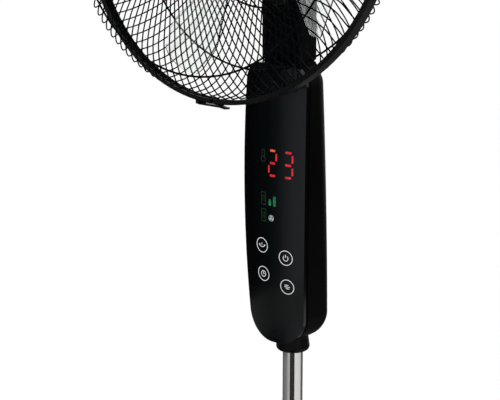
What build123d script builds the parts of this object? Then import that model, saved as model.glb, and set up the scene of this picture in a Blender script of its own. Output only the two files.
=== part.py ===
from build123d import *
import os
from math import acos, cos, pi, radians, sin, sqrt, tan

# Pedestal fan with a touch-panel column, in millimetres, +Z up. The origin is on the floor under the
# pole. The fan blows towards -Y and its head is tilted up a little. Every piece is a solid of its own.

# Fits and clearances
RUNNING_FIT = 0.05        # radial play of a shaft or pin that turns in its bore
SLIP_FIT = 0.1            # radial play of a fixed tube, pin or bush in its seat
WELD_GAP = 0.2            # between crossing wires, which are spot welded
MOVING_GAP = 0.4          # between faces that slide or turn past each other
COVER_GAP = 0.3           # between fixed mouldings that meet

# Base
BASE_RADIUS = 200.0
BASE_RIM = 10.0           # height of the cover's upright edge
BASE_CROWN = 34.0         # height of the cover where its boss starts
BASE_WALL = 2.5
BOSS_FOOT = 34.0          # radius of the cover's boss at its foot
BOSS_TOP = 18.5           # radius of the cover's boss at its top
BOSS_HEIGHT = 72.0
FOOT_HEIGHT = 4.0
FOOT_RADIUS = 11.0
FOOT_COUNT = 5
WEIGHT_SETBACK = 22.0     # cover's edge to the weight's
WEIGHT_THICKNESS = 8.0
FLANGE_RADIUS = 36.0
FLANGE_THICKNESS = 3.0
FLANGE_BOLTS = 4
FLANGE_BOLT_RADIUS = 3.0
BASE_SCREWS = 4
BASE_SCREW_SETBACK = 82.0 # cover's edge to its screws
BASE_SCREW_RADIUS = 2.0

# Pole
OUTER_TUBE_RADIUS = 14.0
INNER_TUBE_RADIUS = 12.0
TUBE_WALL = 1.2
OUTER_TUBE_TOP = 385.0
INNER_TUBE_FOOT = 225.0
SLEEVE_RADIUS = 17.0
SLEEVE_SKIRT = 38.0       # length of the clamp sleeve below the outer tube's top
SLEEVE_CROWN = 13.0       # length of the clamp sleeve above it
SLEEVE_SLOT = 2.0
NUT_RADIUS = 23.0
NUT_LIP = 8.0
NUT_GRIPS = 16
NUT_GRIP_RADIUS = 2.4

# Column housing
COLLAR_FOOT_Z = 478.5     # floor to the underside of the tube collar
COLLAR_HEIGHT = 17.0
COLLAR_RADIUS = 20.8
COLLAR_NECK = 18.3
COLLAR_SPIGOT = 9.0       # length of the collar inside the housing
COLUMN_HEIGHT = 328.5
COLUMN_WALL = 2.5
FOOT_HALF_WIDTH = 38.5
WIDE_HALF_WIDTH = 44.8
TOP_HALF_WIDTH = 42.8
WIDE_RISE = 194.5         # housing's foot to its widest section
FACE_RADIUS = 130.0       # curve of the front panel from side to side
FACE_BOW = 1800.0         # curve of the front panel from top to bottom
FACE_Y = -44.0            # front of the panel at the widest section
FOOT_BACK_Y = 32.4
WIDE_BACK_Y = 17.7
TOP_BACK_Y = 11.5
BACK_CORNER = 24.0
LEAST_CORNER = 2.5        # back corner where the ends are rounded off
TOP_ROUND = 22.0          # rounding of the sides and the back into the top
FOOT_ROUND = 34.0         # rounding of the sides and the back into the foot
ROUND_STEPS = 5
PANEL_LIP = 4.0           # depth of the panel's side
PARTING_GAP = 1.6
RIM_WIDTH = 1.8           # stepped edge of the rear shell beside the parting
RIM_STEP = 0.7

# Inside the column
SPINE_HALF_WIDTH = 20.0
SPINE_THICKNESS = 3.0
SPINE_BACK_Y = 2.8
SPINE_FLANGE = 10.0
SPINE_SOCKET = 90.0
SOCKET_RADIUS = 15.5
SCREW_RADIUS = 1.75
SCREW_HEAD_RADIUS = 3.5
SCREW_HEAD = 2.4
SCREW_LENGTH = 16.0
SCREW_BOSS = 6.0
PANEL_SCREW_X = 30.0
PANEL_SCREW_RISES = (28.5, 263.5)
PANEL_SCREW_SEAT_Y = -4.0
BOSS_MEETING_Y = -12.0
SPINE_SCREW_X = 12.0
SPINE_SCREW_RISES = (123.5, 251.5)
SPINE_SCREW_SEAT_Y = 6.0
BOARD_FRONT_Y = -30.5
BOARD_THICKNESS = 1.6
BOARD_X = 4.0
BOARD_WIDTH = 60.0
BOARD_RISES = (67.5, 247.5)
STANDOFF_RADIUS = 2.5
STANDOFF_INSET = 4.0
DISPLAY_X = 8.5
DISPLAY_WIDTH = 50.0
DISPLAY_RISES = (141.5, 234.5)
DISPLAY_DEPTH = 5.6
KEY_X = 4.5
KEY_PITCH_X = 34.0
KEY_PITCH_Z = 34.3
KEY_STAGGER = 9.5
KEY_TOP_RISE = 117.0
TOUCH_PAD_RADIUS = 6.0
POWER_BOARD_WIDTH = 52.0
POWER_BOARD_RISES = (144.5, 239.5)
CAPACITOR_SIZE = (36.0, 14.0, 25.0)
CAPACITOR_RISE = 194.5
GLAND_RISE = 52.0
GLAND_PAD_RADIUS = 11.0
GLAND_PAD_HEIGHT = 2.0
GLAND_RADIUS = 6.0
GLAND_FLANGE = 8.5
GLAND_FLANGE_THICKNESS = 1.6
CORD_RADIUS = 3.5

# Neck and tilt joint
NECK_Y = -10.5
NECK_WIDTH = 56.0
NECK_DEPTH = 35.0
NECK_CORNER = 6.0
NECK_WALL = 4.0
NECK_WAIST = 2.0          # depth of the shadow groove where the neck meets the column
NECK_WAIST_HEIGHT = 3.0
NECK_FOOT = 49.0          # length of the neck inside the column
NECK_CAVITY_TOP = 33.0    # cavity's end below the tilt axis
NECK_SCREW_X = 12.0
NECK_SCREW_DROPS = (38.0, 12.0)
TILT_RISE = 71.0          # column's top to the tilt axis
REST_TILT = 6.0
KNUCKLE_RADIUS = 16.0
KNUCKLE_HALF_WIDTH = 12.2
WASHER_THICKNESS = 1.0
WASHER_RADIUS = 11.0
TILT_BOLT_RADIUS = 4.0
TILT_HEAD_RADIUS = 7.0
TILT_HEAD = 4.5

# Swing drive, measured up from the tilt axis
POST_RADIUS = 15.0
POST_FOOT = 20.5
POST_TOP = 29.0
SWING_SHAFT_RADIUS = 5.0
SWING_SHAFT_FOOT = 6.0
GEAR_MODULE = 1.25
GEAR_TEETH = 48
PINION_TEETH = 16
GEAR_THICKNESS = 6.0
GEAR_BACKLASH = 0.22
PINION_THICKNESS = 5.0
PINION_SHAFT_RADIUS = 2.5
PINION_SHAFT_LENGTH = 11.0
BUSH_WALL = 2.0
BUSH_LENGTH = 15.0
BRACKET_BOSS_RADIUS = 11.0
BRACKET_THICKNESS = 4.0
BRACKET_HALF_WIDTH = 20.0
BRACKET_FRONT = 26.0
BRACKET_BACK = 56.0
CLIP_RADIUS = 8.5
CLIP_THICKNESS = 1.2
SWING_MOTOR_RADIUS = 19.0
SWING_MOTOR_HEIGHT = 16.0

# Motor, measured along the fan's axis from the ring's middle plane, forward positive
RING_FORWARD = 111.2      # swing axis to the ring's middle plane
AXIS_RISE = 100.5         # tilt axis to the fan's axis
SHAFT_RADIUS = 4.0
STATOR_RADIUS = 42.0
STATOR_BORE = 23.0
STATOR_FRONT = -96.0
STATOR_LENGTH = 26.0
AIR_GAP = 0.4
SLOT_COUNT = 8
SLOT_CIRCLE = 31.0
SLOT_RADIUS = 4.6
COIL_HEAD = 7.0
BELL_WALL = 2.4
BELL_DEPTH = 19.0
BELL_LAP = 4.0
BEARING_RADIUS = 8.0
BEARING_LENGTH = 10.0
BELL_FOOT = 10.0
BELL_FOOT_HALF_WIDTH = 17.0
BRACKET_SCREW_X = 13.0
COVER_RADIUS = 60.0
COVER_WALL = 2.5
COVER_FACE = -69.0        # front face of the motor's front cover
COVER_LENGTH = 118.0
FRONT_COVER_DEPTH = 7.0
SNOUT_RADIUS = 22.0
SNOUT_LENGTH = 12.0
SNOUT_BORE = 9.0
COVER_SCREW_CIRCLE = 33.0
REAR_SCREW_X = 24.0
CHIN_GAP = 1.6
CHIN_FOOT = 23.5          # chin's lower edge above the tilt axis
CHIN_TOP = 64.0
VENT_COUNT = 7
VENT_PITCH = 8.0
VENT_HEIGHT = 3.0
VENT_REACH = 35.0

# Guards
RING_RADIUS = 215.0
RING_WIDTH = 14.0
RING_WALL = 2.0
RING_LIP = 2.0
RING_ROUND = 1.6
RIM_WIRE = 1.5            # radius of the guards' rim wires
HOOP_WIRE = 1.1
RIB_WIRE = 0.75
RIB_COUNT = 120
FRONT_SHOULDER_SETBACK = 13.4   # ring's outside to the front ribs' shoulder, across the axis
FRONT_SHOULDER_DEPTH = 42.7
FRONT_SWIRL_SETBACK = 48.2      # ring's outside to where the front ribs start to swirl
FRONT_SWIRL_DEPTH = 52.8
FRONT_HOOP_SETBACKS = (30.8, 111.0)
FRONT_INNER_RADIUS = 57.0
FRONT_CENTRE_DEPTH = 58.8
FRONT_TURNS = (12.7, 19.1, 16.0, 1.5)   # direction of the rib at its seat, shoulder, swirl and centre
FRONT_BEND = 24.0
FRONT_SWIRL_BEND = 128.0
REAR_SHOULDER_SETBACK = 12.5
REAR_SHOULDER_DEPTH = -61.6
REAR_HOOP_SETBACKS = (35.5, 103.0)
REAR_INNER_RADIUS = 60.0
REAR_CENTRE_DEPTH = -66.0
REAR_TURNS = (0.3, -2.4, -3.2)          # direction of the rib at its seat, shoulder and centre
REAR_BEND = 56.0
REAR_PLATE_RADIUS = 66.0
GUARD_NUT_RADIUS = 33.0
GUARD_NUT_THICKNESS = 7.0
GUARD_NUT_GRIPS = 12
GUARD_NUT_GRIP_RADIUS = 3.0
BADGE_RADIUS = 62.0
BADGE_RIM = 2.4
BADGE_DOME = 4.0
BADGE_PLATE_THICKNESS = 2.0
BADGE_POSTS = 3
BADGE_POST_CIRCLE = 44.0
BADGE_POST_RADIUS = 3.5

# Ring latch, at the bottom of the clamp ring
RING_SPLIT = 3.0
LATCH_LEFT = -22.0        # pivot of the lever
LATCH_RIGHT = 17.0
LATCH_WIDTH = 8.0
LATCH_THICKNESS = 2.0
LATCH_KICK = 1.0
LATCH_PIVOT_LIFT = 1.6    # ring's outside to the pivot
LATCH_KNUCKLE = 1.2
LATCH_TRUNNION = 0.8
EAR_THICKNESS = 2.0
EAR_RADIUS = 2.0
CATCH_LENGTH = 4.0
CATCH_RISE = 0.8
CATCH_SETBACK = 11.0      # lever's free end to the catch

# Rotor
BLADE_COUNT = 5
BLADE_START = 255.0       # direction of the first blade, counter-clockwise from +X seen from the front
BLADE_TIP_SETBACK = 31.0  # ring's outside to the blades' tips
BLADE_THICKNESS = 2.0
BLADE_ROOT = 34.0
BLADE_CHORDS = (46.0, 150.0)     # at the root and at the tip
BLADE_PITCHES = (40.0, 22.0)
BLADE_PLACES = (-32.0, 6.0)      # middle of the strip along the axis
BLADE_CAMBERS = (5.0, 8.0)
BLADE_STRIPS = 4
HUB_RADIUS = 39.0
HUB_BACK = -52.0
HUB_FRONT = -12.0
HUB_WALL = 2.5
HUB_BOSS = 9.0
DRIVE_PIN_RADIUS = 1.5
DRIVE_PIN_HALF_LENGTH = 12.0
DRIVE_PIN_AT = -47.0
SPINNER_RADIUS = 17.0
SPINNER_LENGTH = 20.0
SHAFT_BACK_STUB = 6.0
SHAFT_FRONT_STUB = 14.0

# Levels and frames worked out from the sizes above
WEIGHT_FOOT_Z = FOOT_HEIGHT
WEIGHT_TOP_Z = WEIGHT_FOOT_Z + WEIGHT_THICKNESS
COLUMN_FOOT_Z = COLLAR_FOOT_Z + COLLAR_HEIGHT
COLUMN_TOP_Z = COLUMN_FOOT_Z + COLUMN_HEIGHT
COLUMN_WIDE_Z = COLUMN_FOOT_Z + WIDE_RISE
SOCKET_FOOT_Z = COLUMN_FOOT_Z + COLLAR_SPIGOT + COVER_GAP
SOCKET_TOP_Z = SOCKET_FOOT_Z + SPINE_SOCKET
NECK_FOOT_Z = COLUMN_TOP_Z - NECK_FOOT
PIVOT_Z = COLUMN_TOP_Z + TILT_RISE
SPINE_FRONT_Y = SPINE_BACK_Y - SPINE_THICKNESS
CHEEK_RADIUS = NECK_DEPTH / 2
SLOT_HALF_WIDTH = KNUCKLE_HALF_WIDTH + WASHER_THICKNESS + 2 * RUNNING_FIT
GEAR_TOP = POST_TOP + GEAR_THICKNESS
GEAR_PITCH_RADIUS = GEAR_MODULE * GEAR_TEETH / 2
PINION_PITCH_RADIUS = GEAR_MODULE * PINION_TEETH / 2
PINION_Y = GEAR_PITCH_RADIUS + PINION_PITCH_RADIUS
GEAR_TIP_RADIUS = GEAR_PITCH_RADIUS + GEAR_MODULE
BUSH_RADIUS = SWING_SHAFT_RADIUS + RUNNING_FIT + BUSH_WALL
BUSH_FOOT = GEAR_TOP + COVER_GAP
BUSH_TOP = BUSH_FOOT + BUSH_LENGTH
BELL_RADIUS = STATOR_RADIUS + SLIP_FIT + BELL_WALL
BRACKET_TOP = AXIS_RISE - BELL_RADIUS - COVER_GAP
BRACKET_FOOT = BRACKET_TOP - BRACKET_THICKNESS
STATOR_BACK = STATOR_FRONT - STATOR_LENGTH
FRONT_BELL_FACE = STATOR_FRONT + BELL_DEPTH
REAR_BELL_FACE = STATOR_BACK - BELL_DEPTH
SHAFT_BACK = REAR_BELL_FACE - SHAFT_BACK_STUB
SHAFT_FRONT = HUB_FRONT + SHAFT_FRONT_STUB
REAR_COVER_FRONT = COVER_FACE - FRONT_COVER_DEPTH
REAR_COVER_BACK = REAR_COVER_FRONT - COVER_LENGTH
COVER_BARREL = 50.0       # straight length of the rear cover behind its front edge
COVER_BARREL_ROUND = 60.0
COVER_TAPER = 9.0
COVER_CROWN = 22.0        # length of the rounded back end
COVER_CROWN_ROUND = 18.0
COVER_BACK_SETBACK = 28.0
COVER_BACK_ROUND = 14.0
WEIGHT_RADIUS = BASE_RADIUS - WEIGHT_SETBACK
BASE_SCREW_CIRCLE = BASE_RADIUS - BASE_SCREW_SETBACK
RING_BORE = RING_RADIUS - RING_WALL
BLADE_TIP = RING_RADIUS - BLADE_TIP_SETBACK
RIM_RADIUS = RING_BORE - COVER_GAP - RIM_WIRE
RIB_SEAT_RADIUS = RIM_RADIUS - RIM_WIRE - WELD_GAP - RIB_WIRE
RIM_OFFSET = RIM_WIRE + COVER_GAP
LIP_RADIUS = RIB_SEAT_RADIUS + RIB_WIRE + WELD_GAP
HEAD = Location((0, NECK_Y, PIVOT_Z), (-REST_TILT, 0, 0))
FAN = HEAD * Location((0, -RING_FORWARD, AXIS_RISE), (90, 0, 0))
REACH = 400.0             # longer than any cut has to be


# Shared shapes

def rod(radius, start, end):
    """Cylinder from one point to another."""
    axis = Vector(*end) - Vector(*start)
    seat = Plane(origin=Vector(*start), z_dir=axis)
    return seat * Cylinder(radius, axis.length, align=(Align.CENTER, Align.CENTER, Align.MIN))


def pipe(outer, inner, start, end):
    """Round tube from one point to another."""
    return rod(outer, start, end) - rod(inner, start, end)


def rounded_face(corners, plane=Plane.XZ):
    """Flat face whose corners are given as (across, up, rounding)."""
    points = [(u, v) for u, v, _ in corners]
    rounding = [r for _, _, r in corners]
    return plane * make_face(FilletPolyline(*points, radius=rounding, close=True))


def turned(*corners):
    """Solid of revolution about Z from (radius, height, rounding) corners."""
    return revolve(rounded_face(corners), Axis.Z)


def block(low, high):
    """Box between two opposite corners."""
    size = [b - a for a, b in zip(low, high)]
    middle = [(a + b) / 2 for a, b in zip(low, high)]
    return Pos(*middle) * Box(*size)


def around(shape, count, start=0.0):
    """Copies of a shape spaced evenly round Z."""
    return [Rot(0, 0, start + 360 * i / count) * shape for i in range(count)]


def screw(seat, direction, radius, length, head_radius, head_height):
    """Pan-head screw whose head sits on seat and whose shank points along direction."""
    towards = Vector(*direction)
    start = Vector(*seat)
    shank = rod(radius, start, start + towards * length)
    head = rod(head_radius, start, start - towards * head_height)
    return shank + head


def bow(half_width, radius):
    """How far an arc of that radius falls back at half_width from its middle."""
    return radius - sqrt(radius**2 - half_width**2)


# Base

def cover_body(wall):
    """Dome of the base cover, moved in by a wall."""
    return turned(
        (0, FOOT_HEIGHT / 2, 0),
        (BASE_RADIUS - wall, FOOT_HEIGHT / 2, 0),
        (BASE_RADIUS - wall, FOOT_HEIGHT / 2 + BASE_RIM - wall, 6.0 - wall / 2),
        (BOSS_FOOT, BASE_CROWN - wall, 0),
        (0, BASE_CROWN - wall, 0),
    )


def base_screw_spots():
    return [(p.X, p.Y) for p in (Vector(BASE_SCREW_CIRCLE, 0).rotate(Axis.Z, 45 + 360 * i / BASE_SCREWS)
                                 for i in range(BASE_SCREWS))]


def make_base_cover():
    boss = turned(
        (0, BASE_CROWN - BASE_WALL, 0),
        (BOSS_FOOT, BASE_CROWN - BASE_WALL, 0),
        (BOSS_FOOT, BASE_CROWN, 0),
        (BOSS_TOP + 2.0, BASE_CROWN + 12.0, 12.0),
        (BOSS_TOP, BOSS_HEIGHT, 2.0),
        (0, BOSS_HEIGHT, 0),
    )
    cover = cover_body(0) - cover_body(BASE_WALL) + boss
    pillar_top = BASE_CROWN
    for x, y in base_screw_spots():
        pillar = rod(3 * BASE_SCREW_RADIUS, (x, y, WEIGHT_TOP_Z), (x, y, pillar_top)) & cover_body(0)
        pilot = rod(BASE_SCREW_RADIUS + SLIP_FIT, (x, y, WEIGHT_TOP_Z), (x, y, WEIGHT_TOP_Z + 8.0))
        cover = cover + pillar - pilot
    return cover - rod(OUTER_TUBE_RADIUS + SLIP_FIT, (0, 0, 0), (0, 0, REACH))


def make_base_weight():
    weight = turned(
        (0, WEIGHT_FOOT_Z, 0),
        (WEIGHT_RADIUS, WEIGHT_FOOT_Z, 1.5),
        (WEIGHT_RADIUS, WEIGHT_TOP_Z, 3.0),
        (0, WEIGHT_TOP_Z, 0),
    )
    for bolt in make_flange_bolts():
        centre = bolt.center()
        weight -= rod(FLANGE_BOLT_RADIUS + SLIP_FIT, (centre.X, centre.Y, WEIGHT_FOOT_Z + 1),
                      (centre.X, centre.Y, REACH))
    for x, y in base_screw_spots():
        weight -= rod(BASE_SCREW_RADIUS + SLIP_FIT, (x, y, 0), (x, y, REACH))
        weight -= rod(2 * BASE_SCREW_RADIUS + SLIP_FIT, (x, y, 0), (x, y, WEIGHT_FOOT_Z + 3.0))
    return weight


def make_base_screws():
    return [screw((x, y, WEIGHT_FOOT_Z + 3.0), (0, 0, 1), BASE_SCREW_RADIUS, WEIGHT_THICKNESS + 4.0,
                  2 * BASE_SCREW_RADIUS, 2.0) for x, y in base_screw_spots()]


def make_base_feet():
    foot = Pos(WEIGHT_RADIUS - FOOT_RADIUS - 6.0, 0, 0) * turned(
        (0, 0, 0), (FOOT_RADIUS, 0, 1.0), (FOOT_RADIUS - 1.0, FOOT_HEIGHT, 0), (0, FOOT_HEIGHT, 0))
    return around(foot, FOOT_COUNT, 90)


def flange_bolt_circle():
    return (FLANGE_RADIUS + OUTER_TUBE_RADIUS) / 2 + 2.0


def make_tube_flange():
    flange = turned(
        (OUTER_TUBE_RADIUS + SLIP_FIT, WEIGHT_TOP_Z, 0),
        (FLANGE_RADIUS, WEIGHT_TOP_Z, 0),
        (FLANGE_RADIUS, WEIGHT_TOP_Z + FLANGE_THICKNESS, 1.0),
        (OUTER_TUBE_RADIUS + 4.0, WEIGHT_TOP_Z + FLANGE_THICKNESS, 2.0),
        (OUTER_TUBE_RADIUS + 2.5, WEIGHT_TOP_Z + FLANGE_THICKNESS + 10.0, 0),
        (OUTER_TUBE_RADIUS + SLIP_FIT, WEIGHT_TOP_Z + FLANGE_THICKNESS + 10.0, 0),
    )
    circle = flange_bolt_circle()
    hole = rod(FLANGE_BOLT_RADIUS + SLIP_FIT, (circle, 0, 0), (circle, 0, REACH))
    for cut in around(hole, FLANGE_BOLTS, 45):
        flange -= cut
    return flange


def make_flange_bolts():
    seat_z = WEIGHT_TOP_Z + FLANGE_THICKNESS
    reach = FLANGE_THICKNESS + WEIGHT_THICKNESS - 2.0
    shank = rod(FLANGE_BOLT_RADIUS, (0, 0, seat_z - reach), (0, 0, seat_z))
    head = Pos(0, 0, seat_z) * extrude(RegularPolygon(1.7 * FLANGE_BOLT_RADIUS, 6), 4.0)
    return around(Pos(flange_bolt_circle(), 0, 0) * (shank + head), FLANGE_BOLTS, 45)


# Pole and height clamp

def make_outer_tube():
    bore = OUTER_TUBE_RADIUS - TUBE_WALL
    return pipe(OUTER_TUBE_RADIUS, bore, (0, 0, WEIGHT_TOP_Z), (0, 0, OUTER_TUBE_TOP))


def make_tube_sleeve():
    skirt = pipe(SLEEVE_RADIUS, OUTER_TUBE_RADIUS + SLIP_FIT, (0, 0, OUTER_TUBE_TOP - SLEEVE_SKIRT),
                 (0, 0, OUTER_TUBE_TOP))
    crown = pipe(SLEEVE_RADIUS, INNER_TUBE_RADIUS + RUNNING_FIT, (0, 0, OUTER_TUBE_TOP),
                 (0, 0, OUTER_TUBE_TOP + SLEEVE_CROWN))
    sleeve = skirt + crown
    slot = block((0, -SLEEVE_SLOT / 2, OUTER_TUBE_TOP + 3.0), (REACH, SLEEVE_SLOT / 2, REACH * 2))
    for cut in around(slot, 4):
        sleeve -= cut
    return sleeve


def make_height_nut():
    foot_z = OUTER_TUBE_TOP - SLEEVE_SKIRT + 3.0
    lip_z = OUTER_TUBE_TOP + SLEEVE_CROWN + MOVING_GAP
    nut = turned(
        (SLEEVE_RADIUS + MOVING_GAP, foot_z, 0),
        (NUT_RADIUS - 2.0, foot_z, 1.0),
        (NUT_RADIUS, foot_z + 8.0, 4.0),
        (NUT_RADIUS, lip_z, 3.0),
        (NUT_RADIUS - 4.0, lip_z + NUT_LIP, 2.0),
        (INNER_TUBE_RADIUS + MOVING_GAP, lip_z + NUT_LIP, 0),
        (INNER_TUBE_RADIUS + MOVING_GAP, lip_z, 0),
        (SLEEVE_RADIUS + MOVING_GAP, lip_z, 0),
    )
    groove = rod(NUT_GRIP_RADIUS, (NUT_RADIUS + 1.2, 0, foot_z + 9.0), (NUT_RADIUS + 1.2, 0, lip_z))
    for cut in around(groove, NUT_GRIPS):
        nut -= cut
    return nut


def make_inner_tube():
    return pipe(INNER_TUBE_RADIUS, INNER_TUBE_RADIUS - TUBE_WALL, (0, 0, INNER_TUBE_FOOT),
                (0, 0, SOCKET_TOP_Z - 10.0 - COVER_GAP))


def make_tube_collar():
    return turned(
        (INNER_TUBE_RADIUS + SLIP_FIT, COLLAR_FOOT_Z, 0),
        (COLLAR_RADIUS, COLLAR_FOOT_Z, 5.0),
        (COLLAR_NECK, COLUMN_FOOT_Z, 0),
        (COLLAR_NECK, COLUMN_FOOT_Z + COLLAR_SPIGOT, 1.0),
        (INNER_TUBE_RADIUS + SLIP_FIT, COLUMN_FOOT_Z + COLLAR_SPIGOT, 0),
    )


# Column housing: a loft through level sections, rounded at its corners seen from the front and the side

def apex_y(z):
    """Front of the panel on its middle line at a height."""
    return FACE_Y + (z - COLUMN_WIDE_Z) ** 2 / (2 * FACE_BOW)


def between(z, at_foot, at_wide, at_top):
    """Value at a height, on a parabola through the housing's foot, widest section and top."""
    low, mid, high = COLUMN_FOOT_Z, COLUMN_WIDE_Z, COLUMN_TOP_Z
    return (at_foot * (z - mid) * (z - high) / ((low - mid) * (low - high))
            + at_wide * (z - low) * (z - high) / ((mid - low) * (mid - high))
            + at_top * (z - low) * (z - mid) / ((high - low) * (high - mid)))


def half_width(z):
    return between(z, FOOT_HALF_WIDTH, WIDE_HALF_WIDTH, TOP_HALF_WIDTH)


def back_y(z):
    return between(z, FOOT_BACK_Y, WIDE_BACK_Y, TOP_BACK_Y)


def panel_edge_y(z):
    return apex_y(z) + bow(half_width(z), FACE_RADIUS)


def column_section(z, inset, tuck):
    """Level section of the housing; its sides and back come in by the tuck, its front does not."""
    half = half_width(z) - inset - tuck
    front = apex_y(z) + inset
    edge = front + bow(half, FACE_RADIUS - inset)
    back = back_y(z) - inset - tuck
    corner = max(BACK_CORNER - inset - tuck, LEAST_CORNER)
    side = half - corner
    slant = corner * sqrt(0.5)
    lines = [
        ThreePointArc((-half, edge), (0, front), (half, edge)),
        Line((half, edge), (half, back - corner)),
        ThreePointArc((half, back - corner), (side + slant, back - corner + slant), (side, back)),
        Line((side, back), (-side, back)),
        ThreePointArc((-side, back), (-side - slant, back - corner + slant), (-half, back - corner)),
        Line((-half, back - corner), (-half, edge)),
    ]
    return Pos(0, 0, z) * make_face(lines)


def column_body(inset):
    """The housing's outer form, or its cavity one wall further in: foot, shaft and top."""
    foot_round, top_round = FOOT_ROUND - inset, TOP_ROUND - inset
    turns = [pi / 2 * i / ROUND_STEPS for i in range(ROUND_STEPS + 1)]
    foot, top = [], []
    for turn in turns:
        level, tuck = inset + foot_round * (1 - cos(turn)), foot_round * (1 - sin(turn))
        foot.append(column_section(COLUMN_FOOT_Z + level, inset, tuck))
        level, tuck = inset + top_round * (1 - cos(turn)), top_round * (1 - sin(turn))
        top.append(column_section(COLUMN_TOP_Z - level, inset, tuck))
    shaft = loft([foot[-1], column_section(COLUMN_WIDE_Z, inset, 0), top[-1]])
    return shaft + loft(foot) + loft(top)


def parting_region(offset, front):
    """Space in front of, or behind, the line where panel and shell part."""
    levels = (COLUMN_FOOT_Z - 5.0, COLUMN_WIDE_Z, COLUMN_TOP_Z + 5.0)
    low, mid, high = [(panel_edge_y(z) + PANEL_LIP + offset, z) for z in levels]
    far = -REACH / 2 if front else REACH / 2
    lines = [
        ThreePointArc(low, mid, high),
        Line(high, (far, high[1])),
        Line((far, high[1]), (far, low[1])),
        Line((far, low[1]), low),
    ]
    return extrude(Plane.YZ * make_face(lines), REACH / 2, both=True)


def panel_screw_spots():
    return [(side * PANEL_SCREW_X, COLUMN_FOOT_Z + rise) for side in (-1, 1) for rise in PANEL_SCREW_RISES]


def spine_screw_spots():
    return [(side * SPINE_SCREW_X, COLUMN_FOOT_Z + rise) for side in (-1, 1) for rise in SPINE_SCREW_RISES]


def neck_bar(inset, low_z, high_z):
    """Upright bar of the neck's section."""
    section = RectangleRounded(NECK_WIDTH - 2 * inset, NECK_DEPTH - 2 * inset, NECK_CORNER - inset / 2)
    return Pos(0, NECK_Y, low_z) * extrude(section, high_z - low_z)


def gland_pad_y():
    return back_y(COLUMN_FOOT_Z + GLAND_RISE) + GLAND_PAD_HEIGHT


def make_rear_shell():
    outer = column_body(0)
    rim = column_body(RIM_STEP) & parting_region(PARTING_GAP, False)
    shell = (outer & parting_region(PARTING_GAP + RIM_WIDTH, False)) + rim - column_body(COLUMN_WALL)
    gland_z = COLUMN_FOOT_Z + GLAND_RISE
    for x, z in panel_screw_spots():
        shell += rod(SCREW_BOSS, (x, BOSS_MEETING_Y, z), (x, REACH, z)) & outer
    for x, z in spine_screw_spots():
        shell += rod(SCREW_BOSS, (x, SPINE_BACK_Y, z), (x, REACH, z)) & outer
    shell += rod(GLAND_PAD_RADIUS, (0, gland_pad_y() - GLAND_PAD_HEIGHT - COLUMN_WALL, gland_z),
                 (0, gland_pad_y(), gland_z))
    for x, z in panel_screw_spots():
        shell -= rod(SCREW_RADIUS + SLIP_FIT, (x, -REACH, z), (x, REACH, z))
        shell -= rod(SCREW_HEAD_RADIUS + COVER_GAP, (x, PANEL_SCREW_SEAT_Y, z), (x, REACH, z))
    for x, z in spine_screw_spots():
        shell -= rod(SCREW_RADIUS + SLIP_FIT, (x, 0, z), (x, REACH, z))
        shell -= rod(SCREW_HEAD_RADIUS + COVER_GAP, (x, SPINE_SCREW_SEAT_Y, z), (x, REACH, z))
    shell -= rod(GLAND_RADIUS + SLIP_FIT, (0, 0, gland_z), (0, REACH, gland_z))
    shell -= rod(COLLAR_NECK + COVER_GAP, (0, 0, COLLAR_FOOT_Z), (0, 0, SOCKET_FOOT_Z))
    return shell - neck_bar(-COVER_GAP, NECK_FOOT_Z, PIVOT_Z)


def key_spots():
    left, right = KEY_X - KEY_PITCH_X / 2, KEY_X + KEY_PITCH_X / 2
    top = COLUMN_FOOT_Z + KEY_TOP_RISE
    return [(left, top), (left, top - KEY_PITCH_Z), (right, top - KEY_STAGGER),
            (right, top - KEY_STAGGER - KEY_PITCH_Z)]


def board_corners():
    low, high = [COLUMN_FOOT_Z + rise for rise in BOARD_RISES]
    reach = BOARD_WIDTH / 2 - STANDOFF_INSET
    levels = (low + STANDOFF_INSET, high - STANDOFF_INSET)
    return [(BOARD_X + side * reach, z) for side in (-1, 1) for z in levels]


def make_front_panel():
    outer = column_body(0)
    face = outer & parting_region(0, True)
    panel = face - column_body(COLUMN_WALL)
    for x, z in panel_screw_spots():
        boss = rod(SCREW_BOSS - 1.5, (x, -REACH, z), (x, BOSS_MEETING_Y, z)) & outer
        pilot = rod(SCREW_RADIUS + SLIP_FIT, (x, PANEL_SCREW_SEAT_Y - SCREW_LENGTH - 1, z), (x, REACH, z))
        panel = panel + boss - pilot
    for x, z in board_corners():
        panel += rod(STANDOFF_RADIUS, (x, -REACH, z), (x, BOARD_FRONT_Y, z)) & outer
    return panel - neck_bar(-COVER_GAP, NECK_FOOT_Z, PIVOT_Z)


def make_shell_screws():
    into = (0, -1, 0)
    spots = [(x, PANEL_SCREW_SEAT_Y, z) for x, z in panel_screw_spots()]
    spots += [(x, SPINE_SCREW_SEAT_Y, z) for x, z in spine_screw_spots()]
    return [screw(spot, into, SCREW_RADIUS, SCREW_LENGTH, SCREW_HEAD_RADIUS, SCREW_HEAD) for spot in spots]


def make_spine():
    tongue_top = PIVOT_Z - NECK_CAVITY_TOP - 6.0
    socket = pipe(SOCKET_RADIUS, INNER_TUBE_RADIUS + SLIP_FIT, (0, 0, SOCKET_FOOT_Z), (0, 0, SOCKET_TOP_Z))
    plate_z = SOCKET_TOP_Z - 10.0
    plate = block((-SPINE_HALF_WIDTH, SPINE_FRONT_Y, plate_z), (SPINE_HALF_WIDTH, SPINE_BACK_Y, tongue_top))
    spine = socket + plate
    for side in (-1, 1):
        inner, outer = sorted((side * SPINE_HALF_WIDTH, side * (SPINE_HALF_WIDTH - SPINE_THICKNESS)))
        spine += block((inner, SPINE_FRONT_Y - SPINE_FLANGE, plate_z), (outer, SPINE_FRONT_Y, tongue_top))
    for x, z in spine_screw_spots() + neck_screw_spots():
        spine -= rod(SCREW_RADIUS + SLIP_FIT, (x, -REACH, z), (x, REACH, z))
    return spine


# Boards and display behind the front panel

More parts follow.
